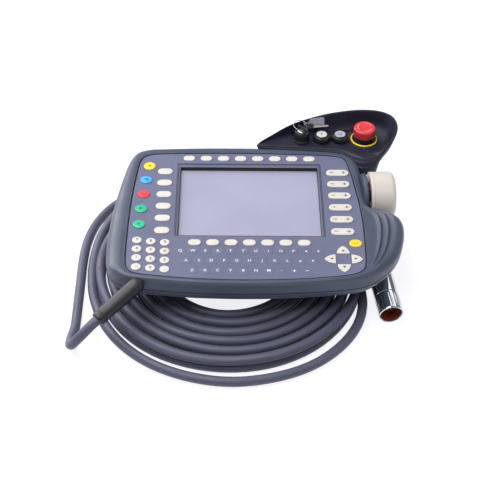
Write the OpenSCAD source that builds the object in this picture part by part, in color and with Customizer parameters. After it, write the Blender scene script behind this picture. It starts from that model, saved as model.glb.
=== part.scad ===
// Teach pendant: a hand-held control panel for an industrial robot.
// The origin is the centre of the display window's outer face, +Z out of the face,
// +Y towards the switch console and +X towards the grip lobe.

/* [Housing] */
// Overall width, from the left wall to the grip lobe
body_w = 330; // [326:1:340]
// Length of the housing, from its front wall to its back wall
body_l = 240.8; // [238:0.2:248]
// Height of the key panel's face above the display window
face_h = 4.5; // [3.5:0.5:6]
// Depth of the front shell, from the key panel's face to the parting line
front_h = 16.5; // [15.5:0.5:20]
// Depth of the rear shell below the parting line
rear_h = 17.5; // [16.5:0.5:21]
// Thickness of the shells' side walls
wall = 4; // [3:0.5:5]
// Height of the three crests on the grip lobe
crest_h = 1.4; // [0:0.1:2]
// Width of the ledge that carries the key panel
ledge = 1.8; // [1.2:0.1:2]
// Depth of the palm rests behind the rear shell
palm_h = 14.8; // [10:0.2:14.8]

/* [Display] */
// Visible width of the display window
display_w = 158.4; // [150:0.2:160]
// Visible height of the display window
display_h = 118.8; // [112:0.2:120]
// Width of the bezel's frame at its sides
bezel_w = 4; // [3:0.25:5]
// Thickness of the display window
window_t = 2.6; // [2:0.1:3.5]
// Thickness of the display module
lcd_t = 8; // [6:0.5:9]

/* [Keys] */
// Height of the keys above the panel
key_rise = 1.2; // [0.8:0.1:2]
// Travel of the short-stroke keys
key_travel = 0.9; // [0.6:0.1:1]
// Gap between a key and its hole, all round
key_gap = 0.3; // [0.2:0.05:0.4]
// Thickness of the key panel
panel_t = 2; // [1.6:0.1:2.5]
// Diameter of the coloured keys
colour_d = 13.7; // [12:0.1:15]
// Diameter of the number keys
number_d = 10.7; // [9:0.1:11.2]
// Pitch of the menu keys above the display
menu_pitch = 20.1; // [19:0.1:20.5]
// Pitch of the soft keys below the display
soft_pitch = 20; // [19:0.1:21]
// Pitch of the left column and of the jog rockers
column_pitch = 20.8; // [19.5:0.1:21]
// Pitch of the letter keys
letter_pitch = 13.65; // [13:0.05:13.8]
// Tilt of a jog rocker to each side, in degrees
rocker_tilt = 3; // [1:0.5:3]

/* [Switch console] */
// Height of the guard wall's crest above the key panel
guard_h = 24.5; // [20:0.5:30]
// Thickness of the guard wall at its crest
guard_t = 3; // [2:0.25:4]
// Height of the console's floor above the key panel
floor_h = 3; // [2:0.25:4]
// Diameter of the emergency stop's cap
estop_d = 26; // [24:0.5:28]
// Travel of the emergency stop
estop_travel = 4; // [3:0.5:4.5]
// Radius of the emergency stop's plunger
plunger_r = 5; // [4:0.25:6]
// Radius of the lit push-buttons
lens_r = 7.5; // [6:0.25:8]
// Travel of the push-buttons
lens_travel = 2.5; // [1.5:0.25:3]
// Radius of the key switch's rotor
rotor_r = 5; // [4:0.25:6]
// Radial clearance of a running fit
running = 0.05; // [0.02:0.01:0.1]

/* [Jog puck] */
// Radius of the jog puck
puck_r = 27.5; // [25:0.5:28]
// Width of the jog puck along its axis
puck_w = 28.5; // [26:0.5:30]
// Push and pull of the puck along its axis, each way
puck_travel = 1.5; // [1:0.25:2]

/* [Enabling switches] */
// Length of an enabling switch
enable_l = 38; // [30:1:44]
// Width of an enabling switch
enable_w = 14; // [12:0.5:16]
// Travel of an enabling switch
enable_travel = 3; // [2:0.25:3.5]

/* [Cable] */
// Diameter of the cable
cable_d = 11; // [10:0.5:11.5]
// Depth of the surface it lies on, below the key panel
floor_z = 71.2; // [71:0.1:74]
// Inner radius of the coiled cable
coil_in = 64; // [60:1:80]
// Outer radius of the coiled cable
coil_out = 152; // [146:1:152]
// Outer diameter of the connector's sleeve
plug_d = 27.6; // [26:0.2:28]
// Length of the connector's coupling sleeve
sleeve_l = 56; // [50:1:60]
// Radius of the connector's open mouth
mouth_r = 12; // [11:0.25:12.25]

/* [Hidden] */
$fn = 48;

// Colours of the mouldings
slate = "#5d6474";
slate_light = "#6a6e86";
ivory = "#f2eee6";
coal = "#22222c";
steel = "#b8bcc4";

// ---- outlines -------------------------------------------------------------------------
// Control rows round the housing: wall x, wall y, key panel x, key panel y, crest weight.
body_rows = [
    [-98, 100.6, -98, 85.2, 0], [-50, 103, -50, 86.4, 0], [5, 103, 5, 86.8, 0],
    [60, 100.4, 60, 85.2, 0], [92, 97.6, 90, 83.6, 0], [112, 93.6, 104, 81.4, 0],
    [122.5, 85.5, 111.6, 77.6, 0], [128, 74, 114.6, 70.5, 0], [130, 60, 116.8, 58, 0],
    [131.5, 40, 119.6, 40, 0], [132.5, 20, 121.6, 20, 0], [133.4, 4, 123.6, 3, 0],
    [138.5, -9.4, 124.6, -10, 0.2], [152, -11, 125.2, -18, 0.8], [164.6, -14.5, 125.7, -27, 1],
    [171.2, -23, 126, -37, 1], [173, -39, 126.2, -50, 1], [170, -60, 126, -64, 1],
    [163, -82, 125.8, -78, 0.8], [152, -100, 125.4, -92, 0.5], [139, -114, 124.6, -104, 0.1],
    [125, -123.6, 121.6, -114.6, 0], [108, -128.6, 108, -122.6, 0], [70, -133.6, 70, -128, 0],
    [25, -137, 25, -130.9, 0], [-20, -137.6, -20, -131.4, 0], [-65, -135.8, -65, -129.2, 0],
    [-105, -131.4, -101, -125.2, 0], [-130, -127.4, -122, -121.8, 0],
    [-146, -118.5, -130.6, -116, 0], [-154.4, -104, -134, -104, 0],
    [-157, -82, -134.8, -80, 0], [-156.4, -40, -134.6, -40, 0], [-152.4, 5, -133.2, 5, 0],
    [-145.8, 50, -130.2, 42, 0], [-139.8, 78, -127.6, 67, 0], [-132, 93, -122.4, 79, 0],
    [-118, 99.2, -112, 83.8, 0]];
sx = body_w / 330;
sy = body_l / 240.8;
rows = [for (r = backwards(body_rows)) [r[0] * sx, r[1] * sy, r[2] * sx, r[3] * sy, r[4]]];
function backwards(list) = [for (i = [len(list) - 1:-1:0]) list[i]];

// A closed smooth curve through control rows, with two steps to a row.
function smooth_at(a, b, c, d, t) = 0.5 * (2 * b + (c - a) * t
    + (2 * a - 5 * b + 4 * c - d) * t * t + (3 * b - a - 3 * c + d) * t * t * t);
function smooth(list, steps = 2) = let (n = len(list))
    [for (i = [0:n - 1]) for (k = [0:steps - 1])
        smooth_at(list[(i + n - 1) % n], list[i], list[(i + 1) % n], list[(i + 2) % n], k / steps)];
body = smooth(rows);

// Unit direction from the wall towards the key panel, and the width of the rim, for a row.
function inward(r) = let (v = [r[2] - r[0], r[3] - r[1]]) v / norm(v);
function rim_w(r) = norm([r[2] - r[0], r[3] - r[1]]);
// Unit normals of a closed outline, pointing into it.
function normals(list) = let (n = len(list)) [for (i = [0:n - 1])
    let (t = list[(i + 1) % n] - list[(i + n - 1) % n]) [-t[1], t[0]] / norm(t)];
wall_line = [for (r = body) [r[0], r[1]]];
panel_line = [for (r = body) [r[2], r[3]]];
wall_normals = normals(wall_line);
panel_normals = normals(panel_line);
// The wall's outline moved in by d: along its normal at first, then towards the key panel.
square_in = 6;
function wall_inset(d) = [for (i = [0:len(body) - 1])
    wall_line[i] + min(d, square_in) * wall_normals[i] + max(0, d - square_in) * inward(body[i])];
// The key panel's outline moved in by d.
function panel_inset(d) = [for (i = [0:len(body) - 1]) panel_line[i] + d * panel_normals[i]];

// ---- lofts ----------------------------------------------------------------------------
// A closed solid through rings with the same number of points, listed from top to bottom.
module loft(rings) {
    n = len(rings[0]);
    m = len(rings);
    polyhedron(
        points = [for (ring = rings) each ring],
        faces = concat(
            [[for (i = [0:n - 1]) n - 1 - i]],
            [for (j = [0:m - 2]) for (i = [0:n - 1]) let (a = j * n + i, b = j * n + (i + 1) % n)
                each [[a, b, b + n], [a, b + n, a + n]]],
            [[for (i = [0:n - 1]) (m - 1) * n + i]]),
        convexity = 6);
}
function lift(outline, z) = [for (p = outline) [p[0], p[1], z]];
// A wide slab that trims a loft's ends flat.
module slab(z, t) translate([-300, -300, z]) cube([600, 600, t]);

// How far the rim falls from the key panel to the wall: deeper where the rim is wider.
function rim_drop(r) = min(13, 3 + 0.45 * rim_w(r));
// A crest is a soft fold, one third of the way out, then two more beside it.
function crest(t) = crest_h * max(0, sin(360 * 3.2 * (t - 0.38))) * (t > 0.38 && t < 0.98 ? 1 : 0);
function rim_ring(t) = [for (r = body)
    [r[2] + (r[0] - r[2]) * t, r[3] + (r[1] - r[3]) * t,
        -rim_drop(r) * (1 - sqrt(max(0, 1 - t * t))) + (t > 0 ? r[4] * crest(t) : 0)]];
rim_steps = [0, 0.3, 0.45, 0.52, 0.6, 0.69, 0.76, 0.84, 0.92, 0.98, 1];

// Everything is set out from the key panel's face, which stands above the display window.
module on_face() translate([0, 0, face_h]) children();

// ---- housing --------------------------------------------------------------------------
roof = 9.5;             // the thickness left above the cavity under the rim
screw_r = 1.7;
screw_places = [[-142 * sx, -86 * sy], [-139 * sx, 36 * sy], [-62 * sx, -128.6 * sy],
    [62 * sx, -127.4 * sy], [-56 * sx, 94.4 * sy], [52 * sx, 92.6 * sy], [158.5 * sx, -56 * sy]];
base_z = -front_h - rear_h;

seam_h = 5;             // height of the straight band above the seam
module front_shell() color(slate) on_face() difference() {
    union() {
        loft(concat([for (t = rim_steps) rim_ring(t)], [lift(wall_inset(0.25), -front_h + 0.6 * seam_h)]));
        translate([0, 0, -front_h]) linear_extrude(seam_h - 0.5) polygon(wall_inset(0));
    }
    translate([0, 0, -front_h - 1]) linear_extrude(front_h + 1 - roof) difference() {
        polygon(wall_inset(wall));
        for (p = screw_places) translate([p[0], p[1]]) circle(4.2);
    }
    translate([0, 0, -panel_t]) linear_extrude(panel_t + 2) polygon(panel_inset(0.2));
    translate([0, 0, -front_h - 2]) linear_extrude(front_h + 3) polygon(panel_inset(ledge));
    spigot(4.45, 8.4);
    for (p = screw_places) translate([p[0], p[1], -front_h - 1])
        cylinder(r = screw_r + running, h = front_h - 5);
}

rear_steps = [[0.3, -1], [0.3, 0], [0.5, 3.5], [2, 7.5], [6, 11.5], [13, 15.5], [23, 17.5], [23, 18.5]];
post_places = [[-95, -70], [95, -70], [-95, 62], [95, 62]];
enable_places = [[-80, 16], [-80, -42], [80, -24]];
start_place = [80, 28];
enable_flange = 1;
floor_t = 3;            // thickness of the rear shell's back
board_z = -20;          // underside of the main board

module rear_shell() color(slate) on_face() difference() {
    union() {
        difference() {
            loft([for (s = rear_steps) lift(wall_inset(s[0]), -front_h - s[1] * rear_h / 17.5)]);
            translate([0, 0, -front_h - 6.5]) linear_extrude(7) polygon(wall_inset(wall + 0.6));
            translate([0, 0, base_z + floor_t]) linear_extrude(rear_h)
                polygon(wall_inset(17));
        }
        for (p = screw_places) translate([p[0], p[1], -front_h - 7]) cylinder(r = 5.2, h = 7);
        for (p = post_places) translate([p[0], p[1], base_z + 1])
            cylinder(r = 3.5, h = board_z - base_z - 1);
    }
    slab(-front_h, 20);
    slab(base_z - 40, 40);
    for (p = screw_places) translate([p[0], p[1], base_z - 20]) {
        cylinder(r = screw_r + 0.3, h = 60);
        cylinder(r = 3.8, h = 20 + rear_h - 6);
    }
    translate([0, 0, -front_h - 1.6]) linear_extrude(2) difference() {
        polygon(wall_inset(1.3));
        polygon(wall_inset(2.7));
    }
    for (p = enable_places) translate([p[0], p[1], base_z - 5]) linear_extrude(30)
        obround(enable_w + 0.6, enable_l + 0.6);
    translate([start_place[0], start_place[1], base_z - 5]) cylinder(r = 7.3, h = 30);
}

module housing_seal() color("#2b2c30") on_face() translate([0, 0, -front_h - 1.5])
    linear_extrude(1.5) difference() {
        polygon(wall_inset(1.4));
        polygon(wall_inset(2.6));
    }

module housing_screws() color(steel) on_face() for (p = screw_places)
    translate([p[0], p[1], -front_h - 6]) {
        translate([0, 0, -2.2]) cylinder(r = 3.3, h = 2.2);
        translate([0, 0, -0.5]) cylinder(r = screw_r, h = 14);
    }

// One palm rest, moulded as a rounded pad.
palm_places = [[-116, -10, 44, 150], [112, -64, 42, 70]];
function pad_ring(w, l, z) = [for (a = [0:12:348])
    [w / 2 * sign(cos(a)) * pow(abs(cos(a)), 0.75), l / 2 * sign(sin(a)) * pow(abs(sin(a)), 0.75), z]];
module palm_rests() color(slate) on_face() for (p = palm_places)
    translate([p[0], p[1], base_z - 0.1]) loft([for (s = [[0, 0], [1, 0.4], [3, 0.65], [8, 0.86], [16, 1]])
        pad_ring(p[2] - 2 * s[0], p[3] - 2 * s[0], -palm_h * s[1])]);

// ---- display --------------------------------------------------------------------------
bezel_top = 7.4;        // the bezel is deeper above the window than beside it
bezel_l = display_h + bezel_w * 0.6 + bezel_top;
bezel_y = (bezel_top - bezel_w * 0.6) / 2;

module display_bezel() color(slate) on_face() difference() {
    union() {
        translate([-display_w / 2 - bezel_w, bezel_y - bezel_l / 2, -3]) cube([display_w + 2 * bezel_w, bezel_l, 2.7]);
        translate([-display_w / 2 - bezel_w, bezel_y - bezel_l / 2, -face_h - 1.9])
            cube([display_w + 2 * bezel_w, bezel_l, face_h - 1]);
    }
    translate([-display_w / 2 - 1.6, -display_h / 2 - 1.2, -1.6])
        cube([display_w + 3.2, display_h + 5, 3]);
    translate([-display_w / 2, -display_h / 2, -face_h - 3]) cube([display_w, display_h, face_h + 4]);
}

// The window's raised middle stands in the bezel's opening, its rim lies behind the bezel.
module display_window() color([0.75, 0.75, 0.86, 0.5]) {
    translate([-display_w / 2 + 0.2, -display_h / 2 + 0.2, -window_t])
        cube([display_w - 0.4, display_h - 0.4, window_t]);
    translate([-display_w / 2 - 2, -display_h / 2 - 2, -2 - (window_t - 2)])
        cube([display_w + 4, display_h + 4, window_t - 2.1]);
}

module lcd_module() color("#9aa0a8") translate([0, 0, -window_t - 0.1 - lcd_t]) {
    translate([-display_w / 2 - 10, -display_h / 2 - 8, 0]) cube([display_w + 20, display_h + 16, lcd_t - 2]);
    translate([-display_w / 2 - 1, -display_h / 2 - 1, 0]) cube([display_w + 2, display_h + 2, lcd_t]);
}

// ---- keys -----------------------------------------------------------------------------
flange_t = 0.8;         // a key's flange holds it behind the panel
flange_w = 0.7;
flange_gap = 0.2;
mat_top = panel_t + flange_gap + flange_t + key_travel + 0.2;
mat_t = 1;
board_t = 1.4;

module obround(w, h) {
    r = min(w, h) / 2;
    if (w >= h) {
        square([w - 2 * r + 0.001, h], center = true);
        for (s = [-1, 1]) translate([s * (w / 2 - r), 0]) circle(r);
    } else {
        square([w, h - 2 * r + 0.001], center = true);
        for (s = [-1, 1]) translate([0, s * (h / 2 - r)]) circle(r);
    }
}
module round_square(w, h, r) {
    square([w - 2 * r, h], center = true);
    square([w, h - 2 * r], center = true);
    for (x = [-1, 1], y = [-1, 1]) translate([x * (w / 2 - r), y * (h / 2 - r)]) circle(r);
}
// A pointed arch, for the cursor keys, grown by g all round.
module arch(g) {
    half = 7.1 + g;
    tip = 12.4 + g * 1.6;
    c = (tip * tip - half * half) / (2 * half);
    intersection() {
        translate([-c, 0]) circle(half + c, $fn = 96);
        translate([c, 0]) circle(half + c, $fn = 96);
        translate([-half, -g]) square([2 * half, tip + g]);
    }
}

// Places of the keys, set out from the display window's edges.
menu_size = [13.6, 9.2];
left_size = [17.2, 10.7];
rocker_size = [26, 11.2];
soft_size = [14.2, 9.7];
letter_size = [10.6, 9.4];
menu_places = [for (i = [0:7]) [0.3 + (i - 3.5) * menu_pitch, display_h / 2 + 16.8]];
left_places = [for (i = [0:5]) [-display_w / 2 - 18, display_h / 2 - 8.2 - i * column_pitch]];
rocker_places = [for (i = [0:5]) [display_w / 2 + 23.4, display_h / 2 - 9.1 - i * column_pitch]];
soft_places = [for (i = [0:6]) [-0.7 + (i - 3) * soft_pitch, -display_h / 2 - 13.2]];
number_places = [for (j = [0:3], i = [0:2])
    [-display_w / 2 - 44.4 + i * 15.3 + j * 0.43, -display_h / 2 - 10 - i * 1.85 - j * 14.3]];
letter_rows = [[12, -0.7, -26.4], [11, -0.8, -42], [10, -0.8, -57.6]];
letter_places = [for (r = letter_rows) for (i = [0:r[0] - 1])
    [r[1] + (i - (r[0] - 1) / 2) * letter_pitch, -display_h / 2 + r[2]]];
colour_places = [[-display_w / 2 - 36.6, 61.1], [-display_w / 2 - 39.4, 35.6],
    [-display_w / 2 - 41.2, 9.8], [-display_w / 2 - 42.6, -16.1], [-display_w / 2 - 43.6, -42.8]];
enter_place = [display_w / 2 + 36.3, -display_h / 2 - 13.4];
enter_size = [13.8, 11.8];
cursor_centre = [display_w / 2 + 21.8, -display_h / 2 - 39.1];
cursor_turns = [0, -90, 90, 180];          // up, right, left, down
cursor_reach = 8.6;                        // from the pad's centre to a key's flat side
module at_cursor(i) translate(cursor_centre) rotate(cursor_turns[i]) translate([0, cursor_reach]) children();

module key_panel() color(slate_light) on_face() translate([0, 0, -panel_t]) linear_extrude(panel_t) difference() {
    polygon(panel_inset(0.7));
    translate([-display_w / 2 - bezel_w - key_gap, bezel_y - bezel_l / 2 - key_gap])
        square([display_w + 2 * (bezel_w + key_gap), bezel_l + 2 * key_gap]);
    for (p = menu_places) translate(p) obround(menu_size[0] + 2 * key_gap, menu_size[1] + 2 * key_gap);
    for (p = left_places) translate(p) obround(left_size[0] + 2 * key_gap, left_size[1] + 2 * key_gap);
    for (p = rocker_places) translate(p) obround(rocker_size[0] + 2 * key_gap, rocker_size[1] + 2 * key_gap);
    for (p = soft_places) translate(p) obround(soft_size[0] + 2 * key_gap, soft_size[1] + 2 * key_gap);
    for (p = number_places) translate(p) circle(number_d / 2 + key_gap);
    for (p = letter_places) translate(p) round_square(letter_size[0] + 2 * key_gap, letter_size[1] + 2 * key_gap, 2);
    for (p = colour_places) translate(p) circle(colour_d / 2 + key_gap);
    translate(enter_place) obround(enter_size[0] + 2 * key_gap, enter_size[1] + 2 * key_gap);
    for (i = [0:3]) at_cursor(i) arch(key_gap);
}

// Key mat and key board: sheets behind the panel, cut away round the display.
module key_sheet(top, t, g) translate([0, 0, -top - t]) linear_extrude(t) difference() {
    polygon(panel_inset(ledge + g));
    translate([-display_w / 2 - bezel_w - 0.6, bezel_y - bezel_l / 2 - 0.6])
        square([display_w + 2 * bezel_w + 1.2, bezel_l + 1.2]);
}
module key_mat() color("#3a3c42") on_face() key_sheet(mat_top, mat_t, 0.3);
module key_board() color("#2f6a45") on_face() key_sheet(mat_top + mat_t + 0.1, board_t, 0.3);

// A short-stroke key: a cap that stands above the panel, and a flange behind the panel.
module key_cap() translate([0, 0, -panel_t - flange_gap]) linear_extrude(panel_t + flange_gap + key_rise) children();
module key_flange() translate([0, 0, -panel_t - flange_gap - flange_t]) linear_extrude(flange_t) children();
module round_key(p, d) on_face() translate([p[0], p[1], 0]) {
    rotate_extrude() polygon([[0, -panel_t - flange_gap - flange_t], [d / 2 + flange_w, -panel_t - flange_gap - flange_t],
        [d / 2 + flange_w, -panel_t - flange_gap], [d / 2, -panel_t - flange_gap], [d / 2, key_rise - 0.5],
        [d / 2 - 0.5, key_rise], [0, key_rise]]);
}
module obround_keys(places, size) on_face() for (p = places) translate(p) {
    key_cap() obround(size[0], size[1]);
    key_flange() obround(size[0] + 2 * flange_w, size[1] + 2 * flange_w);
}
module yellow_key() color("#ffd84a") round_key(colour_places[0], colour_d);
module blue_key() color("#56aef5") round_key(colour_places[1], colour_d);
module red_key() color("#f0505c") round_key(colour_places[2], colour_d);
module green_key_upper() color("#3fc49a") round_key(colour_places[3], colour_d);
module green_key_lower() color("#3fc49a") round_key(colour_places[4], colour_d);
module enter_key() color("#ffd84a") obround_keys([enter_place], enter_size);
module left_keys() color(ivory) obround_keys(left_places, left_size);
module menu_keys() color(ivory) obround_keys(menu_places, menu_size);
module soft_keys() color(ivory) obround_keys(soft_places, soft_size);
module number_keys() color(ivory) for (p = number_places) round_key(p, number_d);
module letter_keys() color(slate_light) on_face() for (p = letter_places) translate(p) {
    key_cap() round_square(letter_size[0], letter_size[1], 2);
    key_flange() square([letter_size[0] + 2 * flange_w, letter_size[1] + 2 * flange_w], center = true);
}
module cursor_key(i) color(ivory) on_face() at_cursor(i) {
    key_cap() arch(0);
    key_flange() arch(flange_w);
}
module cursor_up() cursor_key(0);
module cursor_right() cursor_key(1);
module cursor_left() cursor_key(2);
module cursor_down() cursor_key(3);

// A jog rocker tips about a pin that lies behind the panel.
pin_z = -panel_t - 1;
module jog_rocker(i) color(ivory) on_face() translate(rocker_places[i]) {
    translate([0, 0, -panel_t - 0.2]) linear_extrude(panel_t + 0.2 + key_rise) obround(rocker_size[0], rocker_size[1]);
    translate([-1.8, -rocker_size[1] / 2, pin_z - 0.3]) cube([3.6, rocker_size[1], 1.5]);
    translate([0, rocker_size[1] / 2 + 1.2, pin_z]) rotate([90, 0, 0]) cylinder(r = 0.7, h = rocker_size[1] + 2.4);
}
module jog_rocker_1() jog_rocker(0);
module jog_rocker_2() jog_rocker(1);
module jog_rocker_3() jog_rocker(2);
module jog_rocker_4() jog_rocker(3);
module jog_rocker_5() jog_rocker(4);
module jog_rocker_6() jog_rocker(5);

// ---- inside ---------------------------------------------------------------------------
module main_board() color("#2f6a45") on_face() {
    translate([-112, -88, board_z]) cube([224, 168, 1.6]);
    for (c = [[-40, 20, 34, 34, 2], [20, 10, 28, 28, 2], [-60, -60, 60, 16, 3], [40, -66, 22, 12, 3]])
        translate([c[0], c[1], board_z - c[4]]) cube([c[2], c[3], c[4]]);
}

// ---- switch console -------------------------------------------------------------------
estop_place = [138, 113];
on_place = [87, 111.5];
off_place = [109, 112];
lock_place = [63, 109.5];
console_foot = 22;      // depth of the console below the key panel
neck_r = estop_d / 2 - 2.2;
neck_h = 9.5;           // top of the emergency stop's neck
// Rows round the console: floor x, y, crest x, y, share of the guard's height, foot x, y.
console_rows = [
    [14, 100.5, 9.5, 99, 0.16, 12, 96], [34, 112.5, 31, 113, 0.46, 33, 110],
    [53, 120.5, 51, 122, 0.72, 52, 118.5], [73, 125, 73, 130, 0.86, 73, 124.5],
    [93, 127, 93, 136, 0.94, 93, 128], [114, 129, 114, 140.5, 0.98, 114, 131],
    [137, 131, 137, 143, 1, 134, 132], [152, 128, 158.5, 140, 1, 147, 128],
    [160, 118.5, 172, 129.5, 1, 153.5, 118], [161.5, 106, 176.5, 111.5, 0.98, 155.5, 104],
    [157, 95, 173, 95, 0.86, 155, 90], [149, 87.5, 163.5, 86, 0.44, 153, 79],
    [140, 83, 153, 80, 0.08, 148, 69], [131, 79.5, 139, 74, 0.02, 134, 65],
    [121, 86, 123, 80, 0.02, 121, 71], [110, 91.4, 110.5, 88.6, 0.02, 110, 82],
    [92, 94, 92, 91.6, 0.02, 93, 88], [60, 97, 60, 95, 0.02, 61, 90], [28, 99.6, 27, 97.6, 0.04, 30, 93]];
guard = smooth(backwards(console_rows));
lip_h = 0.35;
function crest_z(r) = max(lip_h + 0.6, guard_h * r[4]);
function toward_floor(r, d) = let (a = [r[2], r[3]], v = [r[0], r[1]] - a) a + v * min(0.45, d / norm(v));
function blend2(a, b, t) = a + (b - a) * t;
function foot(r) = [r[5], r[6]];
function crest_xy(r) = [r[2], r[3]];
// Inner face of the guard: from the floor, up a hollow curve, over the crest and down outside.
console_rings = [
    [for (r = guard) let (p = blend2([r[0], r[1]], estop_place * 0.35 + off_place * 0.65, 0.03)) [p[0], p[1], floor_h]],
    [for (r = guard) [r[0], r[1], max(floor_h, min(floor_h + 1, crest_z(r)))]],
    [for (r = guard) let (p = blend2([r[0], r[1]], toward_floor(r, guard_t), 0.62)) [p[0], p[1],
        max(floor_h - 0.4, floor_h + (crest_z(r) - floor_h) * 0.42)]],
    [for (r = guard) let (p = toward_floor(r, guard_t)) [p[0], p[1], max(floor_h - 0.9, crest_z(r) - 0.2)]],
    [for (r = guard) let (p = toward_floor(r, guard_t * 0.4)) [p[0], p[1], max(floor_h - 1.3, crest_z(r))]],
    [for (r = guard) [r[2], r[3], max(lip_h + 0.5, crest_z(r) - 1.2)]],
    [for (r = guard) let (p = blend2(crest_xy(r), foot(r), 0.42)) [p[0], p[1], min(lip_h + 0.2, crest_z(r) * 0.45)]],
    [for (r = guard) let (p = blend2(crest_xy(r), foot(r), 0.72)) [p[0], p[1], -4.5]],
    [for (r = guard) let (p = blend2(crest_xy(r), foot(r), 0.86)) [p[0], p[1], -6]],
    [for (r = guard) [r[5], r[6], -console_foot - 1]]];
block_w = 13;

module switch_console() color(coal) on_face() difference() {
    union() {
        loft(console_rings);
        translate([estop_place[0], estop_place[1], floor_h - 0.5]) cylinder(r = neck_r, h = neck_h - floor_h + 0.5);
    }
    slab(-console_foot - 40, 40);
    translate([0, 0, -60]) linear_extrude(60 + lip_h) polygon(wall_inset(-0.35));
    for (p = [estop_place, on_place, off_place, lock_place])
        translate([p[0] - block_w / 2 - 0.5, p[1] - block_w / 2 - 0.5, -console_foot - 1])
            cube([block_w + 1, block_w + 1, console_foot + 1.4]);
    translate([estop_place[0], estop_place[1], -1]) cylinder(r = plunger_r + running, h = 20);
    for (p = [on_place, off_place]) translate([p[0], p[1], -1]) cylinder(r = 5.6, h = 20);
    translate([lock_place[0], lock_place[1], -1]) cylinder(r = 6.6, h = 20);
}
module contact_blocks() color("#d8d4c8") on_face() for (p = [estop_place, on_place, off_place, lock_place])
    translate([p[0] - block_w / 2, p[1] - block_w / 2, -console_foot + 3])
        cube([block_w, block_w, console_foot - 3 - 5.6]);

module estop_collar() color("#f2d32e") on_face() translate([estop_place[0], estop_place[1], floor_h])
    rotate_extrude() polygon([[neck_r + 0.2, 0], [16, 0], [16, 0.7], [15.3, 1.4], [neck_r + 0.2, 1.4]]);
module estop_plunger() color("#26262c") on_face() translate([estop_place[0], estop_place[1], 0]) {
    translate([0, 0, -1.4]) cylinder(r = plunger_r, h = neck_h + 8);
}
cap_z = neck_h + 0.4;
cap_h = 10.8;
module estop_cap() color("#d8323a") on_face() translate([estop_place[0], estop_place[1], cap_z]) difference() {
    rotate_extrude() polygon([[0, 0], [estop_d / 2 - 0.6, 0], [estop_d / 2, 0.6], [estop_d / 2, cap_h - 3],
        [estop_d / 2 - 0.7, cap_h - 1.3], [estop_d / 2 - 2.4, cap_h - 0.3], [estop_d / 2 - 5, cap_h],
        [estop_d / 2 - 6, cap_h - 0.5], [0, cap_h - 0.3]]);
    translate([0, 0, -1]) cylinder(r = neck_r + 0.4, h = estop_travel + 1.6);
    translate([0, 0, -1]) cylinder(r = plunger_r + running, h = 8.4);
}

// Push-button collars: a round bezel on the floor, with a threaded body through it.
module button_collars() color("#1d1d22") on_face() for (p = [on_place, off_place]) translate([p[0], p[1], 0]) difference() {
    union() {
        translate([0, 0, floor_h]) rotate_extrude() polygon([[0, 0], [10.5, 0], [10.5, 5.4], [9.6, 7.3], [0, 7.3]]);
        translate([0, 0, -0.6]) cylinder(r = 5.4, h = floor_h + 2);
    }
    translate([0, 0, floor_h + 7.3 - 6]) cylinder(r = lens_r + running, h = 10);
    translate([0, 0, -2]) cylinder(r = 3.1, h = 12);
}
module lit_button(p) on_face() translate([p[0], p[1], 0]) {
    translate([0, 0, floor_h + 4.1]) rotate_extrude() polygon([[0, 0], [lens_r, 0], [lens_r, 3.3], [lens_r - 0.7, 4], [0, 4]]);
    translate([0, 0, -2.6]) cylinder(r = 2.9, h = floor_h + 7.2);
}
module on_button() color("#e6e6ea") lit_button(on_place);
module off_button() color("#d4d4dc") lit_button(off_place);

lock_h = 14.6;          // height of the key switch above the console's floor
module key_switch_collar() color("#1d1d22") on_face() translate([lock_place[0], lock_place[1], 0]) difference() {
    union() {
        translate([0, 0, floor_h]) rotate_extrude() polygon([[0, 0], [9.8, 0], [9.8, 2.6], [9, 3.2], [9, lock_h - 4],
            [8.2, lock_h - 0.4], [7.6, lock_h], [0, lock_h]]);
        translate([0, 0, -0.6]) cylinder(r = 6.4, h = floor_h + 2);
    }
    translate([0, 0, -2]) cylinder(r = rotor_r + running, h = 40);
}
key_turn = -44;         // direction of the key's bow, from the X axis
bow_z = floor_h + lock_h;
bow_hole = [3.6, 0, bow_z + 3.2];
module at_lock() on_face() translate([lock_place[0], lock_place[1], 0]) rotate(key_turn) children();
module mode_key() color("#3a3a40") at_lock() {
    translate([0, 0, -4.8]) cylinder(r = rotor_r, h = bow_z + 5.2);
    translate([0, 0.8, bow_z + 3]) rotate([90, 0, 0]) linear_extrude(1.6) difference() {
        round_square(13, 5.4, 2);
        translate([bow_hole[0], 0.2]) circle(1.6);
    }
}
// A wire ring passes through the hole in the bow, with a spare key and a tag on it.
ring_r = 11.5;
ring_lean = 27;
hang_at = 45;           // place of the spare key and the tag round the ring
function at_ring(a) = bow_hole + ring_r * [cos(ring_lean) * (cos(a) - 1), sin(a), sin(ring_lean) * (1 - cos(a))];
module key_ring() {
    color(steel) at_lock() translate(bow_hole) rotate([0, ring_lean, 0]) translate([-ring_r, 0, 0])
        rotate_extrude() translate([ring_r, 0]) circle(0.65);
    color("#8c8c94") at_lock() translate(at_ring(hang_at)) rotate([0, 0, 12 - key_turn]) rotate([70, 0, 0])
        linear_extrude(0.8) difference() {
            polygon([[-3.5, -3], [3, -3], [4.2, -7], [19.5, -7], [19.5, 4], [-3.5, 4]]);
            circle(1.9);
        }
    color("#26262c") at_lock() translate(at_ring(hang_at - 10)) rotate([0, 0, 8 - key_turn]) rotate([74, 0, 0])
        linear_extrude(1.6) {
            difference() {
                translate([2, 0.2]) obround(12, 5.6);
                circle(1.9);
            }
            translate([6, -2.2]) square([20, 2.6]);
        }
}

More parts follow.
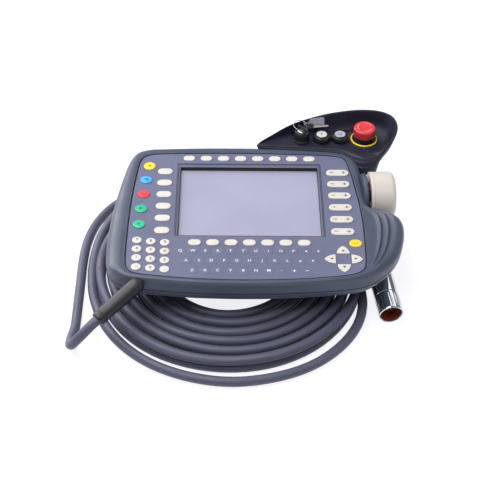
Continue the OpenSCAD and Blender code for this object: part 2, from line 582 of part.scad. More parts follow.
// ---- jog puck -------------------------------------------------------------------------
puck_place = [132.9 * sx, 21, -9.5];
puck_turn = 3.1;
seat_t = 5;
module at_puck() on_face() translate(puck_place) rotate([0, 90, puck_turn]) children();
post_r = 7;
core_r = 11;
pin_r = 2;
gimbal_r = 16;
module puck_seat() color(slate) at_puck() {
    rotate_extrude() polygon([[0, 0.2], [22.5, 0.2], [23.5, 1.2], [23.5, 3.6], [22, seat_t], [0, seat_t]]);
    cylinder(r = post_r, h = 20);
}
module puck_core() color("#2b2c30") at_puck() {
    difference() {
        translate([0, 0, seat_t + puck_travel + 0.5]) cylinder(r = core_r, h = 12);
        cylinder(r = post_r + running, h = 40);
    }
    for (s = [-1, 1]) translate([s * (core_r - 1), 0, seat_t + 8]) rotate([0, s * 90, 0]) cylinder(r = pin_r, h = 4.6);
}
module puck_gimbal() color("#8b8f98") at_puck() difference() {
    translate([0, 0, seat_t + 4.5]) cylinder(r = gimbal_r, h = 7);
    translate([0, 0, seat_t]) cylinder(r = core_r + 0.8, h = 20);
    translate([-30, 0, seat_t + 8]) rotate([0, 90, 0]) cylinder(r = pin_r + running, h = 60);
}
module puck_cap() color("#ddd8cc") at_puck() translate([0, 0, seat_t + 2.7]) difference() {
    rotate_extrude() polygon([[0, 0], [puck_r - 1, 0], [puck_r, 1], [puck_r, puck_w - 6], [puck_r - 0.8, puck_w - 3.2],
        [puck_r - 2.8, puck_w - 1], [puck_r - 6, puck_w], [0, puck_w]]);
    translate([0, 0, -1]) cylinder(r = gimbal_r + running, h = 19);
}

// ---- rear switches --------------------------------------------------------------------
// An enabling switch is held by a flange behind the rear shell's back.
module enabling_switch(i) color("#c9c9c4") on_face() translate([enable_places[i][0], enable_places[i][1], base_z]) {
    translate([0, 0, -5]) linear_extrude(5 + floor_t + 0.4) obround(enable_w, enable_l);
    translate([0, 0, floor_t + 0.3]) linear_extrude(1.6) obround(enable_w + 2, enable_l + 2);
}
module enabling_switch_rear() enabling_switch(0);
module enabling_switch_front() enabling_switch(1);
module enabling_switch_right() enabling_switch(2);
module start_key() color("#3fa45a") on_face() translate([start_place[0], start_place[1], base_z])
    rotate_extrude() polygon([[0, -4], [6, -4], [7, -3], [7, floor_t + 0.3], [8.2, floor_t + 0.3],
        [8.2, floor_t + 1.8], [0, floor_t + 1.8]]);

// ---- cable ----------------------------------------------------------------------------
boot_start = [-121, -134.5, -6];
boot_end = [-160.6, -170.2, -22.5];
cable_z = -floor_z + cable_d / 2;
top_z = -floor_z + 2.5 * cable_d;
coil_centre = [-22, -50];
plug_tip = [155, -125, -57.4];
plug_turn = [-82.5, 0, 8];
plug_l = sleeve_l + 36;
// Axis of the connector, from its mouth to its tail.
plug_axis = [-sin(8) * sin(82.5), cos(8) * sin(82.5), cos(82.5)];
plug_tail = plug_tip + plug_l * plug_axis;

// Points of the lead, from the boot to where it joins the coil.
lead_points = [boot_end, [-166, -175, -25], [-180, -182, -37.5], [-190, -175, -55], [-192, -156, -65],
    [-189.4, -138, cable_z], [-189.4, -107, cable_z], [-189.6, -75, cable_z], [-189.8, -30, cable_z],
    [-187, 5, cable_z], [-178, 38, cable_z], [-160, 68, cable_z], [-134, 90, cable_z],
    [-103, 103, cable_z], [-70, 102, cable_z], [-40, 96, cable_z]];
// Points of the tail, from the connector over the coil's back and round the loose front loop.
tail_points = [plug_tail, plug_tail + 14 * plug_axis, [137, 8, -42.5], [127, 36, top_z], [106, 64, top_z],
    [70, 87, top_z], [25, 99, top_z], [-25, 101, top_z], [-75, 94, top_z], [-115, 76, -46],
    [-150, 48, -53], [-170, 14, -61.5], [-177.4, -24, cable_z], [-177.2, -60, cable_z], [-172, -95, cable_z],
    [-158, -133, cable_z], [-135, -166, cable_z], [-104, -192, cable_z], [-64, -210, cable_z],
    [-19, -217, cable_z], [27, -210, cable_z], [66, -193, cable_z], [97, -166, cable_z],
    [117, -135, cable_z], [125, -108, cable_z], [124, -84, cable_z]];

// A round tube along a smooth curve through points, its ends square to the curve.
function route(pts, k) = let (n = len(pts)) [for (i = [0:n - 2]) let (
        a = i == 0 ? 2 * pts[0] - pts[1] : pts[i - 1], d = i == n - 2 ? 2 * pts[n - 1] - pts[n - 2] : pts[i + 2])
    for (j = [0:k - 1]) smooth_at(a, pts[i], pts[i + 1], d, j / k), pts[n - 1]];
function unit(v) = v / norm(v);
function heading(path, i) = let (n = len(path)) unit(path[min(i + 1, n - 1)] - path[max(i - 1, 0)]);
module tube(path, r, sides = 10) {
    n = len(path);
    rings = [for (i = [0:n - 1]) let (t = heading(path, i), u = unit(cross(t, [0, 0, 1])), v = cross(u, t))
        [for (k = [0:sides - 1]) path[i] + r * (cos(360 * k / sides) * u + sin(360 * k / sides) * v)]];
    polyhedron(
        points = [for (ring = rings) each ring],
        faces = concat(
            [[for (k = [0:sides - 1]) k]],
            [for (i = [0:n - 2]) for (k = [0:sides - 1]) let (a = i * sides + k, b = i * sides + (k + 1) % sides)
                each [[b, a, a + sides], [b, a + sides, b + sides]]],
            [[for (k = [0:sides - 1]) (n - 1) * sides + sides - 1 - k]]),
        convexity = 10);
}

boot_axis = unit(boot_end - boot_start);
boot_tilt = acos(boot_axis[2]);
boot_heading = atan2(boot_axis[1], boot_axis[0]);
boot_l = norm(boot_end - boot_start);
module spigot(r, l) translate(boot_start) rotate([-90, 0, -8]) cylinder(r = r, h = l);
module cable_boot() color("#38363a") on_face() {
    difference() {
        union() {
            translate(boot_start) rotate([0, boot_tilt, boot_heading]) rotate_extrude()
                polygon([[0, 0], [8.6, 0], [8.4, 20], [7.6, boot_l - 1], [7.2, boot_l], [0, boot_l]]);
            translate(boot_start) sphere(r = 8.7);
        }
        translate([0, 0, -40]) linear_extrude(60) polygon(wall_inset(-0.3));
    }
    spigot(4.4, 8);
}
module cable_lead() color("#676a79") on_face() tube(route(lead_points, 2), cable_d / 2 - 0.1);
module cable_tail() color("#676a79") on_face() tube(route(tail_points, 2), cable_d / 2 - 0.1);
module cable_coil() color("#676a79") on_face() translate([coil_centre[0], coil_centre[1], -floor_z])
    rotate_extrude($fn = 96) polygon([[coil_in, 3], [coil_in + 3, 0], [coil_out - 3, 0], [coil_out, 3],
        [coil_out, 2 * cable_d - 3], [coil_out - 3, 2 * cable_d], [coil_in + 3, 2 * cable_d], [coil_in, 2 * cable_d - 3]]);

module at_plug() on_face() translate(plug_tip) rotate(plug_turn) children();
insert_z = 12;          // depth of the clear mouth in front of the insert
module connector_sleeve() color("#c8ccd2") at_plug() rotate_extrude() polygon([
    [mouth_r, 0], [plug_d / 2 - 0.5, 0], [plug_d / 2, 0.5], [plug_d / 2, sleeve_l - 3], [plug_d / 2 - 0.6, sleeve_l - 2.4],
    [plug_d / 2 - 0.6, sleeve_l], [mouth_r - 0.8, sleeve_l], [mouth_r - 0.8, insert_z], [mouth_r, insert_z]]);
module connector_insert() color("#6b2a22") at_plug() difference() {
    translate([0, 0, insert_z + 0.1]) cylinder(r = mouth_r - 0.85, h = 26);
    contact_spots() cylinder(r = 1.05, h = 60);
}
module contact_spots() {
    for (a = [0:30:330]) rotate(a) translate([7.4, 0, 0]) children();
    for (a = [0:72:288]) rotate(a) translate([3.4, 0, 0]) children();
}
module connector_contacts() color("#d9b25a") at_plug() contact_spots()
    translate([0, 0, insert_z + 1]) cylinder(r = 1, h = 22);
module connector_shell() color("#b9bdc4") at_plug() rotate_extrude() polygon([
    [0, sleeve_l - 12], [mouth_r - 0.85, sleeve_l - 12], [mouth_r - 0.85, sleeve_l + 0.1], [12.3, sleeve_l + 0.1],
    [12.3, sleeve_l + 20], [11.4, sleeve_l + 21], [11.4, sleeve_l + 24], [9.6, sleeve_l + 34],
    [8.4, plug_l], [0, plug_l]]);

front_shell();
rear_shell();
housing_seal();
key_panel();
display_bezel();
display_window();
lcd_module();
key_mat();
key_board();
main_board();
switch_console();
estop_collar();
button_collars();
key_switch_collar();
contact_blocks();
puck_seat();
palm_rests();
housing_screws();
cable_boot();
cable_lead();
cable_coil();
cable_tail();
connector_shell();
connector_sleeve();
connector_insert();
connector_contacts();
estop_plunger();
estop_cap();
on_button();
off_button();
mode_key();
key_ring();
puck_core();
puck_gimbal();
puck_cap();
enabling_switch_rear();
enabling_switch_front();
enabling_switch_right();
start_key();
yellow_key();
blue_key();
red_key();
green_key_upper();
green_key_lower();
enter_key();
cursor_up();
cursor_right();
cursor_left();
cursor_down();
jog_rocker_1();
jog_rocker_2();
jog_rocker_3();
jog_rocker_4();
jog_rocker_5();
jog_rocker_6();
left_keys();
menu_keys();
soft_keys();
number_keys();
letter_keys();
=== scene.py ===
"""A robot teach pendant lying on its own coiled lead, seen from above its front edge.

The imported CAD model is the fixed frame. Every shape here is written in millimetres from the
middle of the key panel's face, with Z out of the face, and becomes metres when it is built.
"""
import logging
from dataclasses import dataclass, field
from enum import Enum
from functools import partial
from math import atan2, cos, degrees, hypot, pi, radians, sin, sqrt
from typing import Callable, Iterable, Sequence

import bmesh
import bpy
from mathutils import Matrix, Vector
from mathutils.bvhtree import BVHTree


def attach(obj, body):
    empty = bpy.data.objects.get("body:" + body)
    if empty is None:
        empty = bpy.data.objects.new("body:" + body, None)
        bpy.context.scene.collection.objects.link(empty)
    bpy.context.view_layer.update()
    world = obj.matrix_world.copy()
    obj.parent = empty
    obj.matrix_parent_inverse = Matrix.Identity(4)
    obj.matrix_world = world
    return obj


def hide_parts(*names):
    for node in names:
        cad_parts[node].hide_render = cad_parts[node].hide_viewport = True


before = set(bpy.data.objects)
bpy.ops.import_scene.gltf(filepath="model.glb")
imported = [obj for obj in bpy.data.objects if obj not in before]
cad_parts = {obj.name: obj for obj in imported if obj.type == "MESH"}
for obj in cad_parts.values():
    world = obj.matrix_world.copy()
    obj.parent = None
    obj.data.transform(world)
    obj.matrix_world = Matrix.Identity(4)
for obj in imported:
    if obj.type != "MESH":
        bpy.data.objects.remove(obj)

log = logging.getLogger("pendant")

MM = 0.001
FACE = 4.5                  # the display window's face lies this far under the key panel's
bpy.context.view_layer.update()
HOUSING = "housing"

Point = tuple[float, float]
Outline = list[Point]
Profile = Sequence[tuple[float, float]]

LEAST_ROUGH = 0.03          # no surface is smoother than this
PER_METRE = 1000.0
SOFT_EDGE = 38.0            # the angle in degrees above which an edge stays sharp, unless a piece says otherwise
WELD = 1e-4                 # vertices nearer than this are one, in millimetres


# ---------------------------------------------------------------- metres, objects and meshes

def metres(point: Sequence[float]) -> tuple[float, float, float]:
    """Turns a point of the key panel's millimetres into the model's metres."""
    return (point[0] * MM, point[1] * MM, (point[2] + FACE) * MM)


def turned(angle: float, axis: str) -> Matrix:
    """A turn by an angle in degrees about an axis."""
    return Matrix.Rotation(radians(angle), 4, axis)


def linked(name: str, data: bpy.types.ID) -> bpy.types.Object:
    """Makes an object of some data and puts it in the scene."""
    thing = bpy.data.objects.new(name, data)
    bpy.context.scene.collection.objects.link(thing)
    return thing


def as_mesh(name: str, shape: bmesh.types.BMesh) -> bpy.types.Mesh:
    """Turns a finished bmesh into a mesh and frees it."""
    data = bpy.data.meshes.new(name)
    shape.to_mesh(data)
    shape.free()
    return data


def evaluated(thing: bpy.types.Object) -> bpy.types.Mesh:
    """Copies what an object looks like with its modifiers into a mesh of its own."""
    graph = bpy.context.evaluated_depsgraph_get()
    return bpy.data.meshes.new_from_object(thing.evaluated_get(graph), depsgraph=graph)


def smoothed(data: bpy.types.Mesh, sharp: float) -> None:
    """Shades a mesh smooth, apart from the edges above an angle in degrees."""
    data.polygons.foreach_set("use_smooth", [True] * len(data.polygons))
    data.set_sharp_from_angle(angle=radians(sharp))


# ---------------------------------------------------------------- finishes

def linear(colour: str) -> tuple[float, float, float, float]:
    """Turns an sRGB hex colour into the linear numbers that a shader takes.

    Args:
        colour: six hex digits after a hash.
    Returns:
        Red, green, blue and an alpha of one.
    """
    parts = [int(colour[i:i + 2], 16) / 255 for i in (1, 3, 5)]
    return (*[c / 12.92 if c <= 0.04045 else ((c + 0.055) / 1.055) ** 2.4 for c in parts], 1.0)


class Make(Enum):
    """How a surface is made, which decides the nodes of its material."""
    MOULDED = "spark textured or polished injection moulding"
    RUBBER = "soft moulded elastomer"
    JACKET = "extruded polyurethane cable jacket"
    METAL = "turned or plated metal"
    LENS = "clear moulding over a lamp"
    GLASS = "touch film over the display"
    SCREEN = "liquid crystal panel, switched off"
    BOARD = "solder mask on a circuit board"
    DIFFUSER = "opal sheet of a light table"


@dataclass(frozen=True)
class Finish:
    """One real material and the numbers its nodes need. Lengths are in millimetres."""
    name: str
    make: Make
    colour: str
    second: str
    rough: float
    rough_spread: float = 0.06
    grain: float = 0.5
    grain_depth: float = 0.02
    cloud: float = 40.0
    coat: float = 0.0
    coat_rough: float = 0.15
    sheen: float = 0.0
    specular: float = 0.5


class Surface(Enum):
    """Every finish on the pendant, by the part that carries it."""
    # PC/ABS with a fine spark-eroded texture from the mould
    HOUSING = Finish("abs_slate_spark_texture", Make.MOULDED, "#454b5c", "#4d5365", 0.35, 0.07, 0.55, 0.016, 60,
                     specular=0.36)
    # polyester overlay film, matt hard coat, printed slate on its back
    PANEL = Finish("polyester_overlay_film", Make.MOULDED, "#5f637c", "#666a84", 0.38, 0.05, 0.3, 0.006, 90,
                   specular=0.45)
    BEZEL = Finish("abs_slate_bezel", Make.MOULDED, "#585c71", "#61667b", 0.36, 0.06, 0.5, 0.014, 45)
    # painted shade: this dark colour goes on the bezel's groove and its step down to the window, where shadow falls
    BEZEL_DARK = Finish("abs_dark_bezel_step", Make.MOULDED, "#171a24", "#20242f", 0.38, 0.06, 0.5, 0.01, 45)
    WINDOW = Finish("resistive_touch_film", Make.GLASS, "#bcbbd2", "#b5b4cb", 0.18, 0.03, 0.8, 0.002, 70, coat=0.5,
                    coat_rough=0.05)
    LCD = Finish("lcd_panel_off", Make.SCREEN, "#c4c3d6", "#bab8cd", 0.3, 0.03, 0.264, 0.0, 120)
    # two-shot polycarbonate key caps, satin
    KEY_WHITE = Finish("key_cap_ivory", Make.MOULDED, "#d2cdc9", "#cac5bf", 0.34, 0.05, 0.35, 0.006, 9, coat=0.15)
    KEY_YELLOW = Finish("key_cap_yellow", Make.MOULDED, "#ffd540", "#f6c52f", 0.32, 0.05, 0.35, 0.006, 9, coat=0.2)
    KEY_BLUE = Finish("key_cap_blue", Make.MOULDED, "#4aa6f2", "#3f98e6", 0.32, 0.05, 0.35, 0.006, 9, coat=0.2)
    KEY_RED = Finish("key_cap_red", Make.MOULDED, "#ee4653", "#dd3a49", 0.32, 0.05, 0.35, 0.006, 9, coat=0.2)
    KEY_GREEN = Finish("key_cap_green", Make.MOULDED, "#33bd93", "#2cae86", 0.32, 0.05, 0.35, 0.006, 9, coat=0.2)
    KEY_SLATE = Finish("key_cap_slate", Make.MOULDED, "#5f637c", "#666a84", 0.38, 0.05, 0.35, 0.006, 12)
    SILICONE = Finish("silicone_key_mat", Make.RUBBER, "#3a3c42", "#45474e", 0.62, 0.05, 0.8, 0.02, 15, sheen=0.2)
    BOARD = Finish("solder_mask_green", Make.BOARD, "#235a38", "#2f6a45", 0.35, 0.06, 1.6, 0.02, 12)
    CONSOLE = Finish("abs_black_spark_texture", Make.MOULDED, "#1c1f2e", "#242738", 0.42, 0.07, 0.5, 0.016, 35,
                     specular=0.3)
    ESTOP_RED = Finish("estop_polyamide_red", Make.MOULDED, "#cf3840", "#c02d37", 0.4, 0.06, 0.5, 0.01, 12, coat=0.25)
    ESTOP_MARK = Finish("estop_arrow_print", Make.MOULDED, "#e8787c", "#e06c71", 0.4, 0.05, 0.3, 0.003, 8)
    ESTOP_YELLOW = Finish("estop_ring_yellow", Make.MOULDED, "#f3d22a", "#e6c21f", 0.36, 0.05, 0.4, 0.008, 10)
    LENS_OFF = Finish("lamp_lens_smoked", Make.LENS, "#cccbdc", "#bfbed0", 0.14, 0.03, 0.9, 0.01, 8, coat=0.6,
                      coat_rough=0.05)
    LENS = Finish("lamp_lens_acrylic", Make.LENS, "#f6f6fa", "#e6e7ef", 0.14, 0.03, 0.9, 0.01, 8, coat=0.6,
                  coat_rough=0.05)
    COLLAR = Finish("polyamide_black", Make.MOULDED, "#15151a", "#1f1f26", 0.3, 0.06, 0.4, 0.01, 12, coat=0.15)
    CONTACT = Finish("contact_block_polyamide", Make.MOULDED, "#d3cebf", "#c6c0b0", 0.45, 0.05, 0.4, 0.01, 10)
    STEEL = Finish("turned_stainless_steel", Make.METAL, "#c7cad0", "#a3a7af", 0.24, 0.1, 0.25, 0.004, 12)
    PUCK = Finish("puck_cap_cream", Make.MOULDED, "#d0cac3", "#c8c2ba", 0.4, 0.06, 0.5, 0.014, 22, coat=0.1)
    ACETAL = Finish("acetal_black", Make.MOULDED, "#26272b", "#303136", 0.34, 0.05, 0.4, 0.006, 12)
    ZINC = Finish("die_cast_zinc", Make.METAL, "#8f939b", "#7d8189", 0.38, 0.08, 0.5, 0.012, 10)
    SWITCH = Finish("enabling_switch_grey", Make.RUBBER, "#c6c6c0", "#b9b9b2", 0.5, 0.05, 0.6, 0.012, 14)
    START = Finish("start_key_green", Make.MOULDED, "#37a153", "#2d9148", 0.36, 0.05, 0.4, 0.008, 8, coat=0.2)
    PALM = Finish("palm_rest_elastomer", Make.RUBBER, "#3f444f", "#494f5b", 0.66, 0.05, 1.1, 0.05, 30, sheen=0.15)
    # the real housing seal, and also painted shade on the floor of the groove round the key panel
    SEAL = Finish("seal_rubber_black", Make.RUBBER, "#1d1e21", "#27282b", 0.6, 0.04, 0.6, 0.01, 20)
    BOOT = Finish("boot_elastomer", Make.RUBBER, "#1b1b22", "#24252d", 0.42, 0.06, 0.6, 0.02, 14)
    CABLE = Finish("polyurethane_jacket_grey", Make.JACKET, "#424356", "#5a5b70", 0.5, 0.07, 0.9, 0.02, 60)
    CHROME = Finish("nickel_plated_brass", Make.METAL, "#e3e5ea", "#c3c7cf", 0.09, 0.03, 0.3, 0.0004, 14)
    SHELL = Finish("satin_nickel_shell", Make.METAL, "#b9bdc5", "#a1a5ae", 0.26, 0.06, 0.35, 0.0015, 14)
    INSERT = Finish("insert_phenolic_red", Make.MOULDED, "#8a3a2a", "#742e21", 0.42, 0.06, 0.6, 0.015, 6)
    GOLD = Finish("gold_plated_contact", Make.METAL, "#dcb45c", "#c79c44", 0.2, 0.06, 0.2, 0.002, 3)
    BLACK_MARK = Finish("pad_print_black", Make.MOULDED, "#2b2c33", "#33343c", 0.5, 0.04, 0.3, 0.002, 8)
    WHITE_MARK = Finish("pad_print_white", Make.MOULDED, "#e9eaf2", "#dddfe9", 0.5, 0.04, 0.3, 0.002, 8)
    YELLOW_MARK = Finish("pad_print_umber", Make.MOULDED, "#a5811f", "#96751a", 0.5, 0.04, 0.3, 0.002, 8)
    BLUE_MARK = Finish("pad_print_navy", Make.MOULDED, "#235f9e", "#1f558f", 0.5, 0.04, 0.3, 0.002, 8)
    RED_MARK = Finish("pad_print_maroon", Make.MOULDED, "#94222f", "#861d29", 0.5, 0.04, 0.3, 0.002, 8)
    GREEN_MARK = Finish("pad_print_pine", Make.MOULDED, "#1b7456", "#18684d", 0.5, 0.04, 0.3, 0.002, 8)
    GREY_MARK = Finish("pad_print_grey", Make.MOULDED, "#4b4e5a", "#555866", 0.5, 0.04, 0.3, 0.002, 8)
    TAG = Finish("key_tag_polycarbonate", Make.MOULDED, "#9d9bab", "#9391a1", 0.3, 0.05, 0.3, 0.003, 8, coat=0.3)
    NICKEL_SILVER = Finish("nickel_silver_key", Make.METAL, "#f8f5ec", "#ebe6da", 0.6, 0.05, 0.3, 0.002, 10)
    BLADE = Finish("key_blade_plastic", Make.MOULDED, "#2b2b31", "#36363d", 0.34, 0.06, 0.4, 0.01, 10, coat=0.1)
    FLOOR = Finish("light_table_diffuser", Make.DIFFUSER, "#84848a", "#808086", 0.85, 0.03, 3.0, 0.0, 300, specular=0.1)


def add(tree: bpy.types.NodeTree, kind: str, inputs: dict | None = None, **settings) -> bpy.types.Node:
    """Adds one node and fills it in.

    Args:
        tree: the node tree that gets the node.
        kind: the node's type, without the ShaderNode or GeometryNode prefix for short names.
        inputs: what goes on each input: an output socket is linked, anything else is its value.
        settings: properties of the node itself.
    Returns:
        The new node.
    """
    node = tree.nodes.new(kind)
    for key, value in settings.items():
        setattr(node, key, value)
    for key, value in (inputs or {}).items():
        socket = node.inputs[key]
        if isinstance(value, bpy.types.NodeSocket):
            tree.links.new(value, socket)
        else:
            socket.default_value = value
    return node


class Paint:
    """Builds one material from a finish, with the nodes its make needs."""

    _made: dict[str, bpy.types.Material] = {}

    def __init__(self, finish: Finish) -> None:
        """Starts an empty material.

        Args:
            finish: the real material to build.
        """
        self.finish = finish
        self.material = bpy.data.materials.new(finish.name)
        self.material.use_nodes = True
        self.tree = self.material.node_tree
        self.tree.nodes.clear()
        self.coord = add(self.tree, "ShaderNodeTexCoord").outputs["Object"]

    @classmethod
    def of(cls, surface: Surface) -> bpy.types.Material:
        """Returns the material of a surface, built once.

        Args:
            surface: the surface's finish.
        Returns:
            The finished material.
        """
        finish = surface.value
        if finish.name not in cls._made:
            cls._made[finish.name] = cls(finish).build()
        return cls._made[finish.name]

    def noise(self, size: float, detail: float = 3.0, rough: float = 0.5,
              stretch: Sequence[float] = (1, 1, 1)) -> bpy.types.NodeSocket:
        """A noise whose cells are size millimetres across, in the object's own space.

        Args:
            size: cell size in millimetres.
            detail: octaves.
            rough: strength of the finer octaves.
            stretch: how much faster it changes along each axis.
        Returns:
            The noise's 0 to 1 value.
        """
        scale = 1.0 / (size * MM)
        mapping = add(self.tree, "ShaderNodeMapping", {"Vector": self.coord, "Scale": [s * scale for s in stretch]})
        return add(self.tree, "ShaderNodeTexNoise", {"Vector": mapping.outputs[0], "Scale": 1.0, "Detail": detail,
                                                      "Roughness": rough}).outputs["Fac"]

    def spread(self, value: bpy.types.NodeSocket, low: float, high: float) -> bpy.types.NodeSocket:
        """Maps a noise's middle range onto a range of numbers.

        Args:
            value: the noise.
            low: result where the noise is low.
            high: result where it is high.
        Returns:
            The mapped value.
        """
        return add(self.tree, "ShaderNodeMapRange", {"Value": value, "From Min": 0.3, "From Max": 0.7,
                                                      "To Min": low, "To Max": high}).outputs["Result"]

    def mottle(self, factor: bpy.types.NodeSocket) -> bpy.types.NodeSocket:
        """Mixes the finish's two colours by a factor.

        Args:
            factor: where the second colour shows.
        Returns:
            The mixed colour.
        """
        share = self.spread(factor, 0.0, 1.0)
        mix = add(self.tree, "ShaderNodeMix", {"Factor": share}, data_type="RGBA")
        mix.inputs[6].default_value = linear(self.finish.colour)
        mix.inputs[7].default_value = linear(self.finish.second)
        return mix.outputs[2]

    def bump(self, heights: Iterable[tuple[bpy.types.NodeSocket, float]]) -> bpy.types.NodeSocket:
        """Chains bumps of several heights.

        Args:
            heights: pairs of a height value and its depth in millimetres.
        Returns:
            The bent normal.
        """
        normal = None
        for height, depth in heights:
            inputs = {"Height": height, "Strength": 1.0, "Distance": depth * MM}
            if normal is not None:
                inputs["Normal"] = normal
            normal = add(self.tree, "ShaderNodeBump", inputs).outputs["Normal"]
        return normal

    def build(self) -> bpy.types.Material:
        """Builds the nodes for this finish's make.

        Returns:
            The finished material.
        """
        f = self.finish
        cloud = self.noise(f.cloud, 2.0)
        fine = self.noise(f.grain, 4.0, 0.6)
        inputs: dict = {"Specular IOR Level": f.specular}
        heights = [(fine, f.grain_depth)]
        colour = self.mottle(cloud)
        rough_from = self.noise(f.cloud * 0.35, 3.0)
        if f.make is Make.METAL:
            inputs["Metallic"] = 1.0
            turned = self.noise(f.grain, 2.0, 0.5, (1.0, 1.0, 0.06))
            scuffs = self.noise(f.cloud * 0.2, 5.0, 0.65, (1.0, 0.35, 1.0))
            heights = [(turned, f.grain_depth), (scuffs, f.grain_depth * 0.7)]
            rough_from = scuffs
        elif f.make is Make.RUBBER:
            inputs["Sheen Weight"] = f.sheen
            inputs["Sheen Roughness"] = 0.5
            cells = add(self.tree, "ShaderNodeTexVoronoi", {"Vector": self.coord, "Scale": PER_METRE / (f.grain * 1.6)})
            heights.append((cells.outputs["Distance"], f.grain_depth * 0.7))
        elif f.make is Make.JACKET:
            lay = self.noise(7.0, 2.0)
            self.coord = add(self.tree, "ShaderNodeTexCoord").outputs["UV"]
            streaks = self.noise(1.0, 4.0, 0.6, (0.7, 0.012, 1.0))
            heights += [(lay, 0.06), (streaks, 0.05)]
            colour = self.mottle(streaks)
        elif f.make in (Make.GLASS, Make.SCREEN):
            rows = add(self.tree, "ShaderNodeTexWave", {"Vector": self.coord, "Scale": PER_METRE / (0.7 * 20)},
                       wave_type="BANDS", bands_direction="Y")
            heights = [(rows.outputs["Fac"], 0.0006)]
            if f.make is Make.GLASS:
                inputs["Alpha"] = 0.55
        elif f.make is Make.LENS:
            inputs["Transmission Weight"] = 0.25
            inputs["Subsurface Weight"] = 0.15
            inputs["Subsurface Radius"] = (0.002, 0.002, 0.002)
        elif f.make is Make.BOARD:
            tracks = add(self.tree, "ShaderNodeTexBrick", {"Vector": self.coord, "Scale": PER_METRE / 9,
                                                           "Mortar Size": 0.03})
            heights.append((tracks.outputs["Fac"], 0.03))
        elif f.make is Make.DIFFUSER:
            inputs["Emission Color"] = linear("#fcfcff")
            inputs["Emission Strength"] = 0.86
        elif f.make is Make.MOULDED:
            speckle = self.noise(f.grain * 3.1, 5.0, 0.7)
            heights.append((speckle, f.grain_depth * 0.8))
        inputs["Base Color"] = colour
        inputs["Roughness"] = self.spread(rough_from, max(LEAST_ROUGH, f.rough - f.rough_spread),
                                          f.rough + f.rough_spread)
        if f.coat:
            inputs["Coat Weight"] = f.coat
            inputs["Coat Roughness"] = f.coat_rough
        if any(depth > 0 for _, depth in heights):
            inputs["Normal"] = self.bump([h for h in heights if h[1] > 0])
        shader = add(self.tree, "ShaderNodeBsdfPrincipled", inputs)
        add(self.tree, "ShaderNodeOutputMaterial", {"Surface": shader.outputs["BSDF"]})
        return self.material


# ---------------------------------------------------------------- outlines

def circle(r: float, n: int = 48, centre: Point = (0, 0)) -> Outline:
    """A circle of n points, counter-clockwise.

    Args:
        r: radius.
        n: number of points.
        centre: its middle.
    Returns:
        The outline.
    """
    return [(centre[0] + r * cos(2 * pi * i / n), centre[1] + r * sin(2 * pi * i / n)) for i in range(n)]


def round_rect(w: float, h: float, r: float, inset: float = 0.0, n: int = 12) -> Outline:
    """A rectangle with round corners, n points on each corner, moved inwards by an inset.

    Args:
        w: width.
        h: height.
        r: corner radius.
        inset: how far every side moves inwards.
        n: points on each corner.
    Returns:
        The outline.
    """
    r = min(r, w / 2, h / 2)
    rr = max(0.02, r - inset)
    hx, hy = w / 2 - inset - rr, h / 2 - inset - rr
    hx, hy = max(hx, 0.0), max(hy, 0.0)
    out = []
    for k, (sx, sy) in enumerate(((1, 1), (-1, 1), (-1, -1), (1, -1))):
        for i in range(n):
            a = pi / 2 * (k + i / (n - 1))
            out.append((sx * hx + rr * cos(a), sy * hy + rr * sin(a)))
    return out


def obround(w: float, h: float, inset: float = 0.0, n: int = 14) -> Outline:
    """An outline with two straight sides and round ends.

    Args:
        w: width.
        h: height.
        inset: how far it moves inwards.
        n: points on each quarter turn.
    Returns:
        The outline.
    """
    return round_rect(w, h, min(w, h) / 2, inset, n)


def arch(inset: float = 0.0, n: int = 14) -> Outline:
    """A cursor key's outline: a flat foot at the pad's centre and a pointed outer end.

    Args:
        inset: how far it moves inwards.
        n: points on each curved side.
    Returns:
        The outline.
    """
    half, tip, foot = 7.1 - inset, 12.4 - inset * 1.6, inset
    c = (tip * tip - half * half) / (2 * half)
    right = [(half * 0.999, foot)]
    for i in range(1, n):
        y = foot + (tip - foot) * i / n
        right.append((sqrt(max(0.0, (half + c) ** 2 - y * y)) - c, y))
    tip_soft = [(right[-1][0] * 0.45, tip - 0.25 * right[-1][0])]
    side = right + tip_soft
    left = [(-x, y) for x, y in reversed(side)]
    floor_line = [(-half + 2 * half * (i + 1) / 8, foot) for i in range(7)]
    return side + left + floor_line


def spline(points: Sequence[Sequence[float]], steps: int, closed: bool) -> list[tuple[float, ...]]:
    """A smooth line through every point.

    Args:
        points: points of two or more numbers each.
        steps: how many pieces each stretch is cut into.
        closed: whether the last point joins the first.
    Returns:
        The finer list of points.
    """
    n = len(points)
    size = len(points[0])
    out = []
    for i in range(n if closed else n - 1):
        b, c = points[i], points[(i + 1) % n]
        a = points[(i - 1) % n] if closed or i > 0 else [2 * b[k] - c[k] for k in range(size)]
        d = points[(i + 2) % n] if closed or i < n - 2 else [2 * c[k] - b[k] for k in range(size)]
        for j in range(steps):
            t = j / steps
            out.append(tuple(0.5 * (2 * b[k] + (c[k] - a[k]) * t + (2 * a[k] - 5 * b[k] + 4 * c[k] - d[k]) * t * t
                                    + (3 * b[k] - a[k] - 3 * c[k] + d[k]) * t ** 3) for k in range(size)))
    if not closed:
        out.append(tuple(points[-1]))
    return out


def at_height(outline: Outline, z: float) -> list[Vector]:
    """Lifts a flat outline to one height.

    Args:
        outline: the flat outline.
        z: the height.
    Returns:
        Its points in space.
    """
    return [Vector((x, y, z)) for x, y in outline]


# ---------------------------------------------------------------- mesh building

